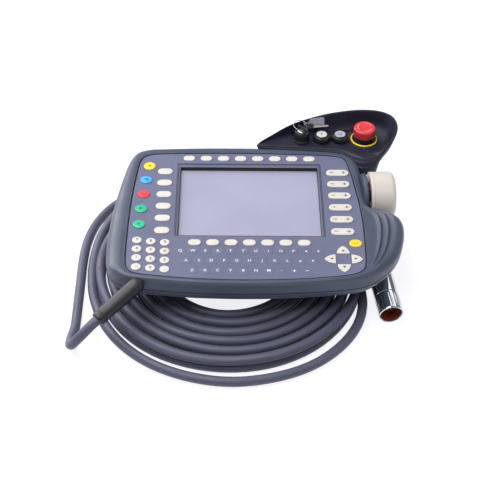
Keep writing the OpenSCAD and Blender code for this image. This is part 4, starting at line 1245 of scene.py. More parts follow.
@dataclass
class Body:
    """The housing's outline: the wall line outside and the panel line inside, point by point."""
    steps: int = 6
    rows: list[tuple[float, ...]] = field(default_factory=list)

    def __post_init__(self) -> None:
        """Smooths the outline and finds its normals."""
        self.rows = spline(BODY_ROWS[::-1], self.steps, True)
        self.wall = [Vector((r[0], r[1])) for r in self.rows]
        self.panel = [Vector((r[2], r[3])) for r in self.rows]
        self.wall_n = self.normals(self.wall)
        self.panel_n = self.normals(self.panel)
        self.inward = [(p - w).normalized() for p, w in zip(self.panel, self.wall)]
        self.drop = [min(13.0, 3 + 0.45 * (p - w).length) for p, w in zip(self.panel, self.wall)]

    @staticmethod
    def normals(line: list[Vector]) -> list[Vector]:
        """Inward normals of a counter-clockwise outline."""
        n = len(line)
        out = []
        for i in range(n):
            t = line[(i + 1) % n] - line[i - 1]
            out.append(Vector((-t.y, t.x)).normalized())
        return out

    def wall_at(self, d: float, z: float | Sequence[float]) -> list[Vector]:
        """The wall line at a height, moved inwards: square to it at first, then towards the panel."""
        inset = [w + n * min(d, SQUARE_IN) + i * max(0.0, d - SQUARE_IN)
                 for w, n, i in zip(self.wall, self.wall_n, self.inward)]
        return self.level(inset, z)

    def panel_at(self, d: float, z: float) -> list[Vector]:
        """The panel line at a height, moved inwards."""
        return self.level([p + n * d for p, n in zip(self.panel, self.panel_n)], z)

    @staticmethod
    def level(line: list[Vector], z: float | Sequence[float]) -> list[Vector]:
        """Lifts a line to a height, or each of its points to its own."""
        heights = z if isinstance(z, (list, tuple)) else [z] * len(line)
        return [Vector((p.x, p.y, h)) for p, h in zip(line, heights)]

    def rim(self, t: float) -> list[Vector]:
        """The rim's surface at a share of the way from the panel to the wall."""
        phase = (t - CREST_START) / CREST_PITCH
        p = phase % 1.0
        wave = ease(p / 0.66) * 0.35 + 0.65 * (p / 0.66) ** 2 if p < 0.66 else 1 - ease((p - 0.66) / 0.34)
        wave = wave if 0 < phase < CRESTS else 0.0
        out = []
        for row, drop, p, w in zip(self.rows, self.drop, self.panel, self.wall):
            spot = p + (w - p) * t
            power = 2.7 + 1.5 * ease((-95 - w.y) / 25) * (1 - row[4])
            full = (1 - t ** power) ** (1 / power) if t < 1 else 0.0
            lift = RIM_SWELL * sin(pi * min(1.0, t / 0.85)) * (1 - row[4])
            out.append(Vector((spot.x, spot.y, lift - drop * (1 - full) + row[4] * CREST * wave)))
        return out


CUT_EDGE = 36               # as SOFT_EDGE, for a piece with cuts


def cut(thing: bpy.types.Object, cutters: Draft) -> None:
    """Takes the cutters out of a piece with an exact boolean, applied at once.

    Args:
        thing: the piece, already in metres.
        cutters: closed shapes in millimetres.
    """
    for vert in cutters.mesh.verts:
        vert.co = metres(vert.co)
    bmesh.ops.recalc_face_normals(cutters.mesh, faces=cutters.mesh.faces)
    tool = linked("cutters", as_mesh("cutters", cutters.mesh))
    modifier = thing.modifiers.new("cut", "BOOLEAN")
    modifier.operation, modifier.solver, modifier.object = "DIFFERENCE", "EXACT", tool
    bpy.context.view_layer.update()
    made = evaluated(thing)
    thing.modifiers.remove(modifier)
    made.name = thing.data.name
    thing.data = made
    bpy.data.objects.remove(tool)
    made.set_sharp_from_angle(angle=radians(CUT_EDGE))


@dataclass
class Housing:
    """Both shells, the palm rests, the screws and the enabling controls at the back."""
    tools: Tools
    body: Body = field(default_factory=Body)

    def front(self) -> None:
        """Builds the front shell with its rounded rim and the right lobe's grip crests, and painted shade in the groove
        round the key panel.
        """
        b = self.body
        shell = Draft("front_shell_moulding")
        wall = [(4, -ROOF)] + [(d, -FRONT_H + z) for d, z in
                               ((4, 0.01), (1.25, 0.01), (1.1, 0.45), (0.3, 0.6), (0.05, 0.85), (0, 1.3))]
        edge = [(0, [-max(d + 0.35, 12.0) for d in b.drop]), (0.04, [-max(d + 0.2, 11.8) for d in b.drop])]
        bead = [(-1.75, 0.16), (-1.45, 0.32), (-1.15, 0.28), (-0.92, 0.08), (-0.8, -0.35), (-0.75, -1.5)]
        ledge = [(0.2, -1.6), (0.2, -PANEL_T), (LEDGE, -PANEL_T), (LEDGE, -ROOF)]
        shares = [1, 0.993, 0.98, 0.96] + [0.945 - 0.00833 * i for i in range(78)] + [0.28, 0.23, 0.18, 0.14, 0.11]
        rings = [b.wall_at(d, z) for d, z in wall + edge]
        rings += [b.rim(t) for t in shares]
        rings += [b.panel_at(d, z) for d, z in bead + ledge]
        tints = [Surface.HOUSING] * len(rings)
        # painted shade: the groove's inner wall and floor round the key panel take the black seal finish so the groove
        # reads as a dark shadow line
        tints[-6:-3] = [Surface.SEAL] * 3
        shell.loft(rings, Surface.HOUSING, loop=True, tints=tints)
        shell.build(HOUSING, "housing_plastic", ("front_shell",), 42)

    def rear(self) -> None:
        """Builds the rear shell, cut for the screws and the enabling controls."""
        b = self.body
        shell = Draft("rear_shell_moulding")
        steps = [(1.1, 0.35), (0.5, 0.5), (0.32, 0.8), (0.3, 1.2), (0.38, 2), (0.55, 3.5), (1.15, 5.6), (2, 7.5),
                 (3.7, 9.6), (6, 11.5), (9.2, 13.6), (13, 15.4),
                 (17.5, 16.7), (22, 17.35), (24, 17.5)]
        inside = [(17, REAR_H - 3), (17, 6.5), (4.6, 6.4), (4.6, 0.05), (1.25, 0.05)]
        shell.loft([b.wall_at(d, -FRONT_H - z) for d, z in inside + steps], Surface.HOUSING)
        piece = shell.build(HOUSING, "housing_plastic", ("rear_shell",), 42)
        cutters = Draft("cutters")

        def bore(r: float, mouth: float, top: float, n: int, centre: Point) -> None:
            cutters.lathe([(0, BACK - 5), (mouth, BACK - 5), (mouth, BACK - 0.02), (r, BACK + 0.5), (r, top), (0, top)],
                          Surface.HOUSING, n, centre)

        for spot in SCREWS:
            bore(3.8, 4.2, BACK + REAR_H - 6, 32, spot)
        for spot in ENABLE.values():
            cutters.grow(lambda d: obround(ENABLE_SIZE[0] + 0.6, ENABLE_SIZE[1] + 0.6, d),
                         [(-0.5, BACK - 5), (-0.5, BACK - 0.02), (0, BACK + 0.5), (0, BACK + 20)], Surface.HOUSING,
                         spot)
        bore(7.3, 7.8, BACK + 20, 40, START)
        cut(piece, cutters)

    def palms(self) -> None:
        """Builds the two soft palm rests, each crowned, with shallow channels across."""
        rests = Draft("palm_rests_moulding")
        base, height = BACK - 0.05, 14.75
        steps = [(0, 0.03), (0.25, 0.22), (0.7, 0.36), (1.4, 0.47), (2.3, 0.57), (3.6, 0.68), (5.5, 0.78), (8, 0.86),
                 (11.5, 0.94), (15, 0.985), (16, 1)]
        for x, y, w, l in ((-116, -10, 44, 150), (112, -64, 42, 70)):
            rings = []
            for inset, share in steps:
                ring = []
                for i in range(120):
                    a = 2 * pi * i / 120
                    ca, sa = cos(a), sin(a)
                    px = (w / 2 - inset) * abs(ca) ** 0.75 * (1 if ca >= 0 else -1)
                    py = (l / 2 - inset) * abs(sa) ** 0.75 * (1 if sa >= 0 else -1)
                    groove = 0.55 * max(0.0, cos(2 * pi * py / 9.5)) ** 6 * ease((share - 0.5) / 0.4)
                    ring.append(Vector((x + px, y + py, base - height * share + groove)))
                rings.append(ring)
            rests.loft(rings, Surface.PALM)
        rests.build(HOUSING, "palm_rubber", ("palm_rests",), 50)

    def screws(self) -> None:
        """Builds the housing screws, pan heads with a hexagon socket."""
        head = Draft("screw")
        n, half, sixth = 36, 1.75, pi / 3
        angles = [2 * pi * i / n for i in range(n)]
        reach = [half / max(abs(cos(a - round(a / sixth) * pi / 3)), 0.5) for a in angles]
        hexagon = [(r * cos(a), r * sin(a)) for r, a in zip(reach, angles)]
        pan = ((1.7, 7), (1.7, 0), (3.3, 0), (3.3, -1.5), (3.1, -1.95), (2.7, -2.2))
        rings = [at_height(circle(r, n), z) for r, z in pan]
        rings += [at_height(hexagon, z) for z in (-2.2, -0.7)]
        head.loft(rings, Surface.STEEL)
        pattern = pattern_piece(head, Surface.STEEL)
        mesh = self.tools.spread("housing_screws_turned", pattern, [Vector((x, y, -FRONT_H - 6)) for x, y in SCREWS],
                                 Surface.STEEL, pi)
        bpy.data.objects.remove(pattern)
        settle("housing_screws_turned", mesh, HOUSING, ("housing_screws",))

    def controls(self) -> None:
        """Builds the enabling switches and the start key at the back."""
        w, l = ENABLE_SIZE
        for name, centre in ENABLE.items():
            piece = Draft(f"{name}_cap", Matrix.Translation((*centre, BACK)))
            piece.grow(lambda d: obround(w + 2, l + 2, d), [(0, 4.9), (0, 3.3), (1.0, 3.3)], Surface.SWITCH)
            steps = [(0, 3.3), (0, -3.6), (0.2, -4.3), (0.7, -4.85), (1.3, -5), (2.4, -5), (2.7, -4.6), (3.1, -4.45)]
            piece.grow(lambda d: obround(w, l, d), steps, Surface.SWITCH)
            for k in range(-2, 3):
                piece.grow(lambda d: obround(6.4, 1.6, d), [(0, -4.4), (0.1, -4.85), (0.4, -5)], Surface.SWITCH,
                           (0, k * 5))
            piece.build(name, "switch_grey", (name,), 36)
        key = Draft("start_key_cap", Matrix.Translation((*START, BACK)))
        key.lathe([(0, 4.8), (8.2, 4.8), (8.2, 3.3), (7, 3.3), (7, -2.9), (6.8, -3.5), (6.3, -3.9), (5.6, -4),
                   (5.0, -4), (4.6, -3.8), (2.2, -3.6), (0, -3.55)],
                  Surface.START, 56)
        key.build("start_key", "start_green", ("start_key",), 36)

    def build(self) -> None:
        """Builds the housing."""
        self.front()
        self.rear()
        self.palms()
        self.screws()
        self.controls()


# ---------------------------------------------------------------- the display

DISPLAY_W, DISPLAY_H, BEZEL_W, BEZEL_TOP = 158.4, 118.8, 4.0, 7.4
BEZEL_L = DISPLAY_H + BEZEL_W * 0.6 + BEZEL_TOP
BEZEL_Y = (BEZEL_TOP - BEZEL_W * 0.6) / 2


@dataclass
class Display:
    """The bezel round the screen; the window and the panel behind it are the CAD's own."""

    def build(self) -> None:
        """Builds the bezel with its outer ridge and the step down to the window, with painted shade in the groove and
        on the step.
        """
        bezel = Draft("display_bezel_moulding")
        w, l = DISPLAY_W + 2 * BEZEL_W, BEZEL_L
        corner = 10         # points on each corner

        def frame_ring(inset: float, r: float, z: float) -> list[Vector]:
            return [Vector((x, y + BEZEL_Y, z)) for x, y in round_rect(w - 2 * inset, l - 2 * inset, r, 0, corner)]

        def opening(grow: float, top: float, r: float, z: float) -> list[Vector]:
            hw, low, high = DISPLAY_W / 2 + grow, -DISPLAY_H / 2 - grow, DISPLAY_H / 2 + grow + top
            return [Vector((x, y + (low + high) / 2, z)) for x, y in round_rect(2 * hw, high - low, r, 0, corner)]

        outside = [(0, 1.6, -6.4), (0, 1.6, -0.9), (0.12, 1.6, -0.5), (0.4, 1.6, -0.3), (1.0, 1.4, -0.3),
                   (1.08, 1.4, -0.75),
                   (1.5, 1.3, -0.75), (1.58, 1.3, -0.3)]
        inside = [(0.95, 0.5, 0.9, -0.3), (0.72, 0.42, 0.8, -0.42), (0.62, 0.38, 0.8, -0.8), (0.3, 0.2, 0.6, -3.4),
                  (0.12, 0.1, 0.5, -4.3), (0, 0, 0.4, -4.46)]
        rings = [opening(0, 0, 0.4, -6.4)] + [frame_ring(*row) for row in outside] + [opening(*row) for row in inside]
        dark, light = Surface.BEZEL_DARK, Surface.BEZEL
        # painted shade: the dark stretches are the outer wall, the groove between the two ridges and the step down to
        # the window
        tints = [dark] * 2 + [light] * 3 + [dark] * 3 + [light] * 2 + [dark] * 5
        bezel.loft(rings, Surface.BEZEL, loop=True, tints=tints)
        bezel.build(HOUSING, "housing_plastic", ("display_bezel",), 30)


# ---------------------------------------------------------------- the keys

RISE = 1.2
MENU, LEFT, ROCKER, SOFT, LETTER = (13.6, 9.2), (17.2, 10.7), (26, 11.2), (14.2, 9.7), (10.6, 9.4)
NUMBER_D, COLOUR_D = 10.7, 13.7
MENU_AT = [(0.3 + (i - 3.5) * 20.1, DISPLAY_H / 2 + 16.8) for i in range(8)]
LEFT_AT = [(-DISPLAY_W / 2 - 18, DISPLAY_H / 2 - 8.2 - i * 20.8) for i in range(6)]
ROCKER_AT = [(DISPLAY_W / 2 + 23.4, DISPLAY_H / 2 - 9.1 - i * 20.8) for i in range(6)]
SOFT_AT = [(-0.7 + (i - 3) * 20, -DISPLAY_H / 2 - 13.2) for i in range(7)]
NUMBER_AT = [(-DISPLAY_W / 2 - 44.4 + i * 15.3 + j * 0.43,
              -DISPLAY_H / 2 - 10 - i * 1.85 - j * 14.3) for j in range(4) for i in range(3)]
LETTER_AT = [(x0 + (i - (n - 1) / 2) * 13.65, -DISPLAY_H / 2 + y0) for n, x0,
             y0 in ((12, -0.7, -26.4), (11, -0.8, -42), (10, -0.8, -57.6)) for i in range(n)]
# each coloured key's place, cap, slot, sign and ink
COLOURS = {
    "yellow_key": ((-DISPLAY_W / 2 - 36.6, 61.1), Surface.KEY_YELLOW, "key_yellow", "up", Surface.YELLOW_MARK),
    "blue_key": ((-DISPLAY_W / 2 - 39.4, 35.6), Surface.KEY_BLUE, "key_blue", "left", Surface.BLUE_MARK),
    "red_key": ((-DISPLAY_W / 2 - 41.2, 9.8), Surface.KEY_RED, "key_red", "bar", Surface.RED_MARK),
    "green_key_upper": ((-DISPLAY_W / 2 - 42.6, -16.1), Surface.KEY_GREEN, "key_green", "right", Surface.GREEN_MARK),
    "green_key_lower": ((-DISPLAY_W / 2 - 43.6, -42.8), Surface.KEY_GREEN, "key_green", "right", Surface.GREEN_MARK),
}
ENTER_AT, ENTER = (DISPLAY_W / 2 + 36.3, -DISPLAY_H / 2 - 13.4), (13.8, 11.8)
CURSOR = (DISPLAY_W / 2 + 21.8, -DISPLAY_H / 2 - 39.1)
CURSOR_REACH = 8.6          # from the pad's centre to each key's foot
CURSOR_TURNS = {"cursor_up": 0, "cursor_right": -90, "cursor_left": 90, "cursor_down": 180}
NUMBERS = ("7", "8", "9", "4", "5", "6", "1", "2", "3", "bar", "0", ".")
LETTERS = "QWERTYUIOP[]" "ASDFGHJKL<>" "ZXCVBNM.+-"
# the printed shape and its size for what isn't a letter
LETTER_SIGNS = {"[": ("left", 2.8), "]": ("right", 2.8), "<": ("up", 2.8), ">": ("down", 2.8), "-": ("bar", 3.6),
                "+": ("plus", 3.6),
                ".": ("dot", 1.0)}


@dataclass(frozen=True)
class KeyKind:
    """One kind of key cap: its outline at an inset, how round its edge is and how high its crown."""
    outline: Callable[[float], Outline]
    rise: float = RISE
    soft: float = 0.75
    dome: float = 0.16
    flange: float = 0.7

    def steps(self) -> list[tuple[float, float]]:
        """The cap's wall and rounded edge as pairs of inset and height.

        Returns:
            The steps, from the flange up.
        """
        r, top = self.soft, self.rise
        out = [(-self.flange, -3.0), (-self.flange, -2.2), (0.0, -2.2), (0.0, top - r)]
        for i in range(1, 7):
            a = pi / 2 * i / 6
            out.append((r * (1 - cos(a)), top - r + r * sin(a)))
        out.append((r + 0.5, top + 0.012))
        return out


@dataclass
class Keyboard:
    """Every key on the panel, each group on the CAD body that carries it, with its signs."""

    def key(self, node: str, kind: KeyKind, places: Sequence[Point], surface: Surface, slot: str,
            turns: Sequence[float] = ()) -> bpy.types.Object:
        """Builds the caps of one node.

        Args:
            node: the CAD node and body.
            kind: the cap's shape.
            places: where each cap stands.
            surface: its finish.
            slot: the record's material slot.
            turns: each cap's turn, in radians.
        Returns:
            The node's caps as one piece.
        """
        caps = Draft(f"{node}_caps")
        for i, place in enumerate(places):
            caps.grow(kind.outline, kind.steps(), surface, place, turns[i] if turns else 0.0, dome=kind.dome)
        return caps.build(node, slot, (node,), 32)

    def build(self) -> None:
        """Builds all the keys and their signs."""
        for node, size, places in (("menu_keys", MENU, MENU_AT), ("left_keys", LEFT, LEFT_AT),
                                   ("soft_keys", SOFT, SOFT_AT)):
            self.key(node, KeyKind(partial(obround, *size)), places, Surface.KEY_WHITE, "key_white")
        number = KeyKind(lambda d: circle(NUMBER_D / 2 - d, 40), soft=0.8, dome=0.2)
        numbers = self.key("number_keys", number, NUMBER_AT, Surface.KEY_WHITE, "key_white")
        letter = KeyKind(lambda d: round_rect(LETTER[0] + 0.5, LETTER[1] + 0.5, 2.2, d, 8),
                         rise=0.1, soft=0.1, dome=0.1, flange=0.45)
        letters = self.key("letter_keys", letter, LETTER_AT, Surface.KEY_SLATE, "key_dark")
        self.colours()
        self.cursors()
        for i, place in enumerate(ROCKER_AT):
            self.rocker(f"jog_rocker_{i + 1}", place)
        digits = [(n, x, y, 3.2 if n == "bar" else 4.2) for n, (x, y) in zip(NUMBERS, NUMBER_AT)]
        lettering("number_keys_digits", digits, Surface.BLACK_MARK, "number_keys", numbers, bold=0.04)
        signs = [(*LETTER_SIGNS.get(c, (c, 3.9)), *at) for c, at in zip(LETTERS, LETTER_AT)]
        lettering("letter_keys_letters", [(text, x, y, size) for text, size, x, y in signs],
                  Surface.WHITE_MARK, "letter_keys", letters, bold=0.03)

    def colours(self) -> None:
        """Builds the round coloured keys and the enter key, each with its sign."""
        round_key = KeyKind(lambda d: circle(COLOUR_D / 2 - d, 48), soft=0.9, dome=0.25)
        for node, (place, surface, slot, sign, ink) in COLOURS.items():
            cap = self.key(node, round_key, [place], surface, slot)
            lettering(f"{node}_sign", [(sign, *place, 4.6)], ink, node, cap)
        enter = KeyKind(partial(obround, *ENTER), soft=0.9)
        cap = self.key("enter_key", enter, [ENTER_AT], Surface.KEY_YELLOW, "key_yellow")
        lettering("enter_key_sign", [("return", *ENTER_AT, 4.4)], Surface.YELLOW_MARK, "enter_key", cap)

    def cursors(self) -> None:
        """Builds the four cursor keys round their pad's centre, each with its arrow."""
        kind = KeyKind(arch, soft=0.6, dome=0.14)
        for node, turn in CURSOR_TURNS.items():
            a = radians(turn)
            place, mid = ((CURSOR[0] - r * sin(a), CURSOR[1] + r * cos(a)) for r in (CURSOR_REACH, CURSOR_REACH + 4.6))
            cap = self.key(node, kind, [place], Surface.KEY_WHITE, "key_white", [a])
            lettering(f"{node}_arrow", [(node.split("_")[1], *mid, 3.6)], Surface.GREY_MARK, node, cap)

    @staticmethod
    def rocker(node: str, place: Point) -> None:
        """Builds one jog rocker: a cap that dips in its middle, on a pin across it, with minus and plus.

        Args:
            node: the CAD node and body.
            place: where its middle stands.
        """
        rocker = Draft(f"{node}_cap")
        kind = KeyKind(partial(obround, *ROCKER), flange=0.0, dome=0.0)
        steps = [(0, -2.2)] + kind.steps()[3:] + [(2.2, RISE + 0.02), (3.6, RISE + 0.02), (5.0, RISE)]

        def dip(x: float, z: float) -> float:
            return (0.35 * (min(abs(x), 9.0) / 9.0) ** 2 - 0.18) * ease((z + 0.2) / 1.2)

        rocker.loft([[Vector((place[0] + x, place[1] + y, z + dip(x, z))) for x, y in kind.outline(inset)]
                     for inset, z in steps], Surface.KEY_WHITE)
        pin = [(0, -6.8), (0.7, -6.8), (0.7, 6.8), (0, 6.8)]
        sides = 16
        rocker.lathe(pin, Surface.KEY_WHITE, sides)
        pivot = Matrix.Translation((*place, -3.0)) @ turned(90, "X")
        for vert in list(rocker.mesh.verts)[-sides * len(pin):]:
            vert.co = pivot @ vert.co
        cap = rocker.build(node, "key_white", (node,), 32)
        lettering(f"{node}_signs", [("bar", place[0] - 7.0, place[1], 4.4), ("plus", place[0] + 7.0, place[1], 4.6)],
                  Surface.GREY_MARK, node, cap)


# ---------------------------------------------------------------- the switch console

ESTOP, ON, OFF, LOCK = (138.0, 113.0), (87.0, 111.5), (109.0, 112.0), (63.0, 109.5)
GUARD_H, GUARD_T, FLOOR_H, LIP = 24.5, 3.0, 3.0, 0.35
NECK_R, NECK_H = 10.8, 9.5
RING_HOLE_R = 1.9           # the hole for the key ring's wire in the tag and the spare key
CONSOLE_ROWS = [
    (14, 100.5, 9.5, 99, 0.16, 12, 96), (34, 112.5, 31, 113, 0.46, 33, 110), (53, 120.5, 51, 122, 0.72, 52, 118.5),
    (73, 125, 73, 130, 0.86, 73, 124.5), (93, 127, 93, 136, 0.94, 93, 128), (114, 129, 114, 140.5, 0.98, 114, 131),
    (137, 131, 137, 143, 1, 134, 132), (152, 128, 158.5, 140, 1, 147, 128), (160, 118.5, 172, 129.5, 1, 153.5, 118),
    (161.5, 106, 176.5, 111.5, 0.98, 155.5, 104), (157, 95, 173, 95, 0.86, 155, 90),
                (149, 87.5, 163.5, 86, 0.44, 153, 79),
    (140, 83, 153, 80, 0.08, 148, 69), (131, 79.5, 139, 74, 0.02, 134, 65), (121, 86, 123, 80, 0.02, 121, 71),
    (110, 91.4, 110.5, 88.6, 0.02, 110, 82), (92, 94, 92, 91.6, 0.02, 93, 88), (60, 97, 60, 95, 0.02, 61, 90),
                (28, 99.6, 27, 97.6, 0.04, 30, 93)]


@dataclass
class Console:
    """The black switch console: its floor and curved guard, the stop, the lit buttons and the key switch."""
    tools: Tools

    def crest(self, row: Sequence[float]) -> float:
        """Height of the guard's crest at one row."""
        return max(LIP + 0.6, GUARD_H * row[4])

    def base(self) -> None:
        """Builds the console's floor, guard and the stop's neck."""
        rows = spline(CONSOLE_ROWS[::-1], 8, True)
        hub = Vector((ESTOP[0] * 0.35 + OFF[0] * 0.65, ESTOP[1] * 0.35 + OFF[1] * 0.65))
        key_rings: list[list[Vector]] = []
        for row in rows:
            floor_p, crest_p, foot = Vector(row[0:2]), Vector(row[2:4]), Vector(row[5:7])
            top = self.crest(row)
            way = floor_p - crest_p

            def inner(d: float) -> Vector:
                return crest_p + way * min(0.45, d / way.length)

            inside = inner(GUARD_T)
            skirt = min(LIP + 0.4, top * 0.45)
            column = [(floor_p.lerp(hub, 0.03), FLOOR_H), (floor_p, max(FLOOR_H, min(FLOOR_H + 0.9, top)))]
            column += [(floor_p.lerp(inside, t), max(FLOOR_H - sunk, FLOOR_H + (top - FLOOR_H) * share))
                       for t, sunk, share in ((0.34, 0.2, 0.2), (0.62, 0.4, 0.42), (0.84, 0.65, 0.72))]
            column += [(inside, max(FLOOR_H - 0.9, top - 0.55)), (inner(GUARD_T * 0.8), max(FLOOR_H - 1.05, top - 0.1)),
                       (inner(GUARD_T * 0.4), max(FLOOR_H - 1.3, top)),
                       (inner(GUARD_T * 0.12), max(LIP + 0.7, top - 0.35)), (crest_p, max(LIP + 0.5, top - 1.2)),
                       (crest_p.lerp(foot, 0.18), skirt + (top - 1.2 - skirt) * 0.48 if top > 3 else LIP + 0.3),
                       (crest_p.lerp(foot, 0.42), min(LIP + 0.2, top * 0.45)), (crest_p.lerp(foot, 0.72), -4.5),
                       (crest_p.lerp(foot, 0.86), -6.0), (foot, -14.0)]
            key_rings.append([Vector((p.x, p.y, z)) for p, z in column])
        columns = [self.rounded(column) for column in key_rings]
        console = Draft("switch_console_moulding")
        console.loft([[col[j] for col in columns] for j in range(len(columns[0]))], Surface.CONSOLE)
        console.lathe([(5.05, FLOOR_H - 0.5), (NECK_R, FLOOR_H - 0.5), (NECK_R, NECK_H - 0.5), (NECK_R - 0.5, NECK_H),
                       (5.05, NECK_H)], Surface.CONSOLE, 64, ESTOP)
        console.build(HOUSING, "console_plastic", ("switch_console",), 46)

    @staticmethod
    def rounded(column: list[Vector]) -> list[Vector]:
        """Rounds one column of the console, three steps to a stretch, and keeps its two flat ends."""
        fine = [column[0].copy()]
        last = len(column) - 1
        for j in range(1, last):
            a, b, c, d = column[max(j - 1, 1)], column[j], column[j + 1], column[min(j + 2, last)]
            steps = 1 if j == last - 1 else 3
            for t in (k / steps for k in range(steps)):
                fine.append(0.5 * (2 * b + (c - a) * t + (2 * a - 5 * b + 4 * c - d) * t * t
                                   + (3 * b - a - 3 * c + d) * t ** 3))
        return fine + [column[-1]]

    def stop(self) -> None:
        """Builds the emergency stop's yellow ring and red cap with its turning arrows."""
        x, y = ESTOP
        ring = Draft("estop_collar_ring", Matrix.Translation((x, y, FLOOR_H)))
        ring.lathe([(NECK_R + 0.2, 0), (16, 0), (16, 0.55), (15.8, 0.9), (15.3, 1.3), (14.9, 1.4), (14.5, 1.3),
                    (14.4, 1.0), (NECK_R + 0.2, 1.0)],
                   Surface.ESTOP_YELLOW, 96, tints=[Surface.ESTOP_YELLOW] * 6 + [Surface.COLLAR] * 3)
        ring.build(HOUSING, "estop_yellow", ("estop_collar",), 34)
        cap_r, cap_h = 13.0, 10.8
        place = Matrix.Translation((x, y, NECK_H + 0.4))
        cap = Draft("estop_cap_moulding", place)

        def grip(a: float, z: float) -> float:
            return -0.32 * max(0.0, cos(12 * a)) ** 3 * ease((z - 1.0) / 0.8) * ease((cap_h - 2.6 - z) / 1.2)

        cap.lathe([(5.05, 7.4), (5.05, 4.6), (NECK_R + 0.4, 4.6), (NECK_R + 0.4, 0.2), (NECK_R + 0.7, 0),
                   (cap_r - 0.5, 0), (cap_r - 0.12, 0.2), (cap_r, 0.6),
                   (cap_r, cap_h - 3), (cap_r - 0.04, cap_h - 2.1), (cap_r - 0.2, cap_h - 1.4),
                   (cap_r - 0.55, cap_h - 0.8), (cap_r - 1.1, cap_h - 0.35),
                   (cap_r - 1.9, cap_h - 0.08), (cap_r - 3.2, cap_h), (cap_r - 4.8, cap_h - 0.02),
                   (cap_r - 6.0, cap_h - 0.3), (cap_r - 8, cap_h - 0.55),
                   (cap_r - 10.5, cap_h - 0.68), (0, cap_h - 0.7)], Surface.ESTOP_RED, 112, waver=grip)
        cap.build("estop_cap", "estop_red", ("estop_cap",), 34)
        arrows = Draft("estop_cap_arrows", place)
        z = cap_h - 0.02
        inner_r, outer_r, span, count, barb = 7.6, 9.2, radians(66), 14, 0.9
        tint = arrows.tint(Surface.ESTOP_MARK)

        def on_cap(r: float, a: float, height: float) -> Vector:
            return Vector((r * cos(a), r * sin(a), height))

        for k in range(3):
            a0 = radians(120 * k + 20)
            made = [arrows.ring([on_cap(inner_r, a0 + span * i / count, z - 0.02),
                                 on_cap(outer_r, a0 + span * i / count, z - 0.05)])
                    for i in range(count + 1)]
            for low, high in zip(made, made[1:]):
                arrows.mesh.faces.new((low[0], low[1], high[1], high[0])).material_index = tint
            a1, a2 = a0 + span, a0 + span + radians(17)
            head = arrows.ring([on_cap(inner_r - barb, a1, z), on_cap(outer_r + barb, a1, z - 0.2),
                                on_cap((inner_r + outer_r) / 2, a2, z - 0.02)])
            arrows.mesh.faces.new(head).material_index = tint
        for vert in arrows.mesh.verts:
            vert.co.z += 0.1
        arrows.build("estop_cap", "estop_red")

    def buttons(self) -> None:
        """Builds the collars of the two lit buttons and their lenses, marked I and O."""
        collars = Draft("button_collars_moulding")
        bezel = [(5.4, 0), (10.5, 0), (10.5, 4.7), (10.2, 5.5), (9.7, 6.7), (9.3, 7.15), (8.8, 7.3), (8.0, 7.3),
                 (7.7, 7.0), (7.55, 6.5),
                 (7.55, 1.3)]
        for spot in (ON, OFF):
            collars.lathe([(3.1, FLOOR_H + 1.3), (3.1, -0.6), (5.4, -0.6)] + [(r, FLOOR_H + z) for r, z in bezel],
                          Surface.COLLAR, 72, spot)
        collars.build(HOUSING, "collar_plastic", ("button_collars",), 34)
        for node, (x, y), sign, glass in (("on_button", ON, "stroke", Surface.LENS),
                                          ("off_button", OFF, "O", Surface.LENS_OFF)):
            lens = Draft(f"{node}_lens", Matrix.Translation((x, y, FLOOR_H)))
            lens.lathe([(0, -5.6), (2.9, -5.6), (2.9, 4.1), (7.5, 4.1), (7.5, 7.2), (7.3, 7.7), (6.8, 8.02), (6.4, 8.1),
                        (6.35, 7.95), (6.1, 8.15), (4.5, 8.05), (2.2, 7.95), (0, 7.93)], glass, 72,
                       tints=[Surface.COLLAR] * 8 + [glass] * 4)
            cap = lens.build(node, "lens", (node,), 34)
            lettering(f"{node}_sign", [(sign, x, y, 4.6)], Surface.GREY_MARK, node, cap)

    def key_switch(self) -> None:
        """Builds the key switch, its key, and the wire ring with the tag and the spare key."""
        lock_h = 14.6
        collar = Draft("key_switch_collar_moulding", Matrix.Translation((*LOCK, 0)))
        z0, flutes = FLOOR_H, 36
        profile = [(6.4, 0), (9.8, 0), (9.8, 2.2), (9.5, 2.7), (9, 3.2), (9, 3.6), (9, 4.2), (9, 7), (9, 9.8),
                   (9, 10.4), (8.9, 10.9),
                   (8.4, 13.6), (8.1, 14.3), (7.6, lock_h), (6.4, lock_h), (5.9, lock_h - 0.5), (5.05, lock_h - 0.6)]
        collar.lathe([(5.05, -0.6), (6.4, -0.6)] + [(r, z0 + z) for r, z in profile], Surface.COLLAR, 144,
                     waver=lambda a, z: -0.35 * (0.5 - 0.5 * cos(flutes * a)) if z0 + 4 < z < z0 + 10 else 0.0)
        collar.build(HOUSING, "collar_plastic", ("key_switch_collar",), 34)
        turn = radians(-44)
        place = Matrix.Translation((*LOCK, 0)) @ Matrix.Rotation(turn, 4, "Z")
        bow_z = FLOOR_H + lock_h
        rotor = Draft("mode_key_rotor", place)
        rotor.lathe([(0, -4.8), (5, -4.8), (5, bow_z - 0.2), (4.7, bow_z + 0.15), (4.2, bow_z + 0.4), (0, bow_z + 0.4)],
                    Surface.STEEL, 56)
        rotor.build("mode_key", "steel", (), 34)
        bow = Draft("mode_key_bow", place @ Matrix.Translation((0, 0, bow_z + 3)) @ turned(90, "X"))
        hx, hy = 3.6, 0.2
        hole = circle(1.6, 48, (hx, hy))
        levels = ((0.35, -0.8, 1.12), (0, -0.5, 1), (0, 0.5, 1), (0.35, 0.8, 1.12))
        rings = [at_height(round_rect(13, 5.4, 2, inset, 12), z) for inset, z, _ in levels]
        rings += [[Vector((hx + (x - hx) * grow, hy + (y - hy) * grow, z)) for x, y in hole]
                  for _, z, grow in reversed(levels)]
        bow.loft(rings, Surface.BLADE, loop=True)
        bow.build("mode_key", "steel", ("mode_key",), 30)
        hole_at = Vector((hx, 0, bow_z + 3.2))
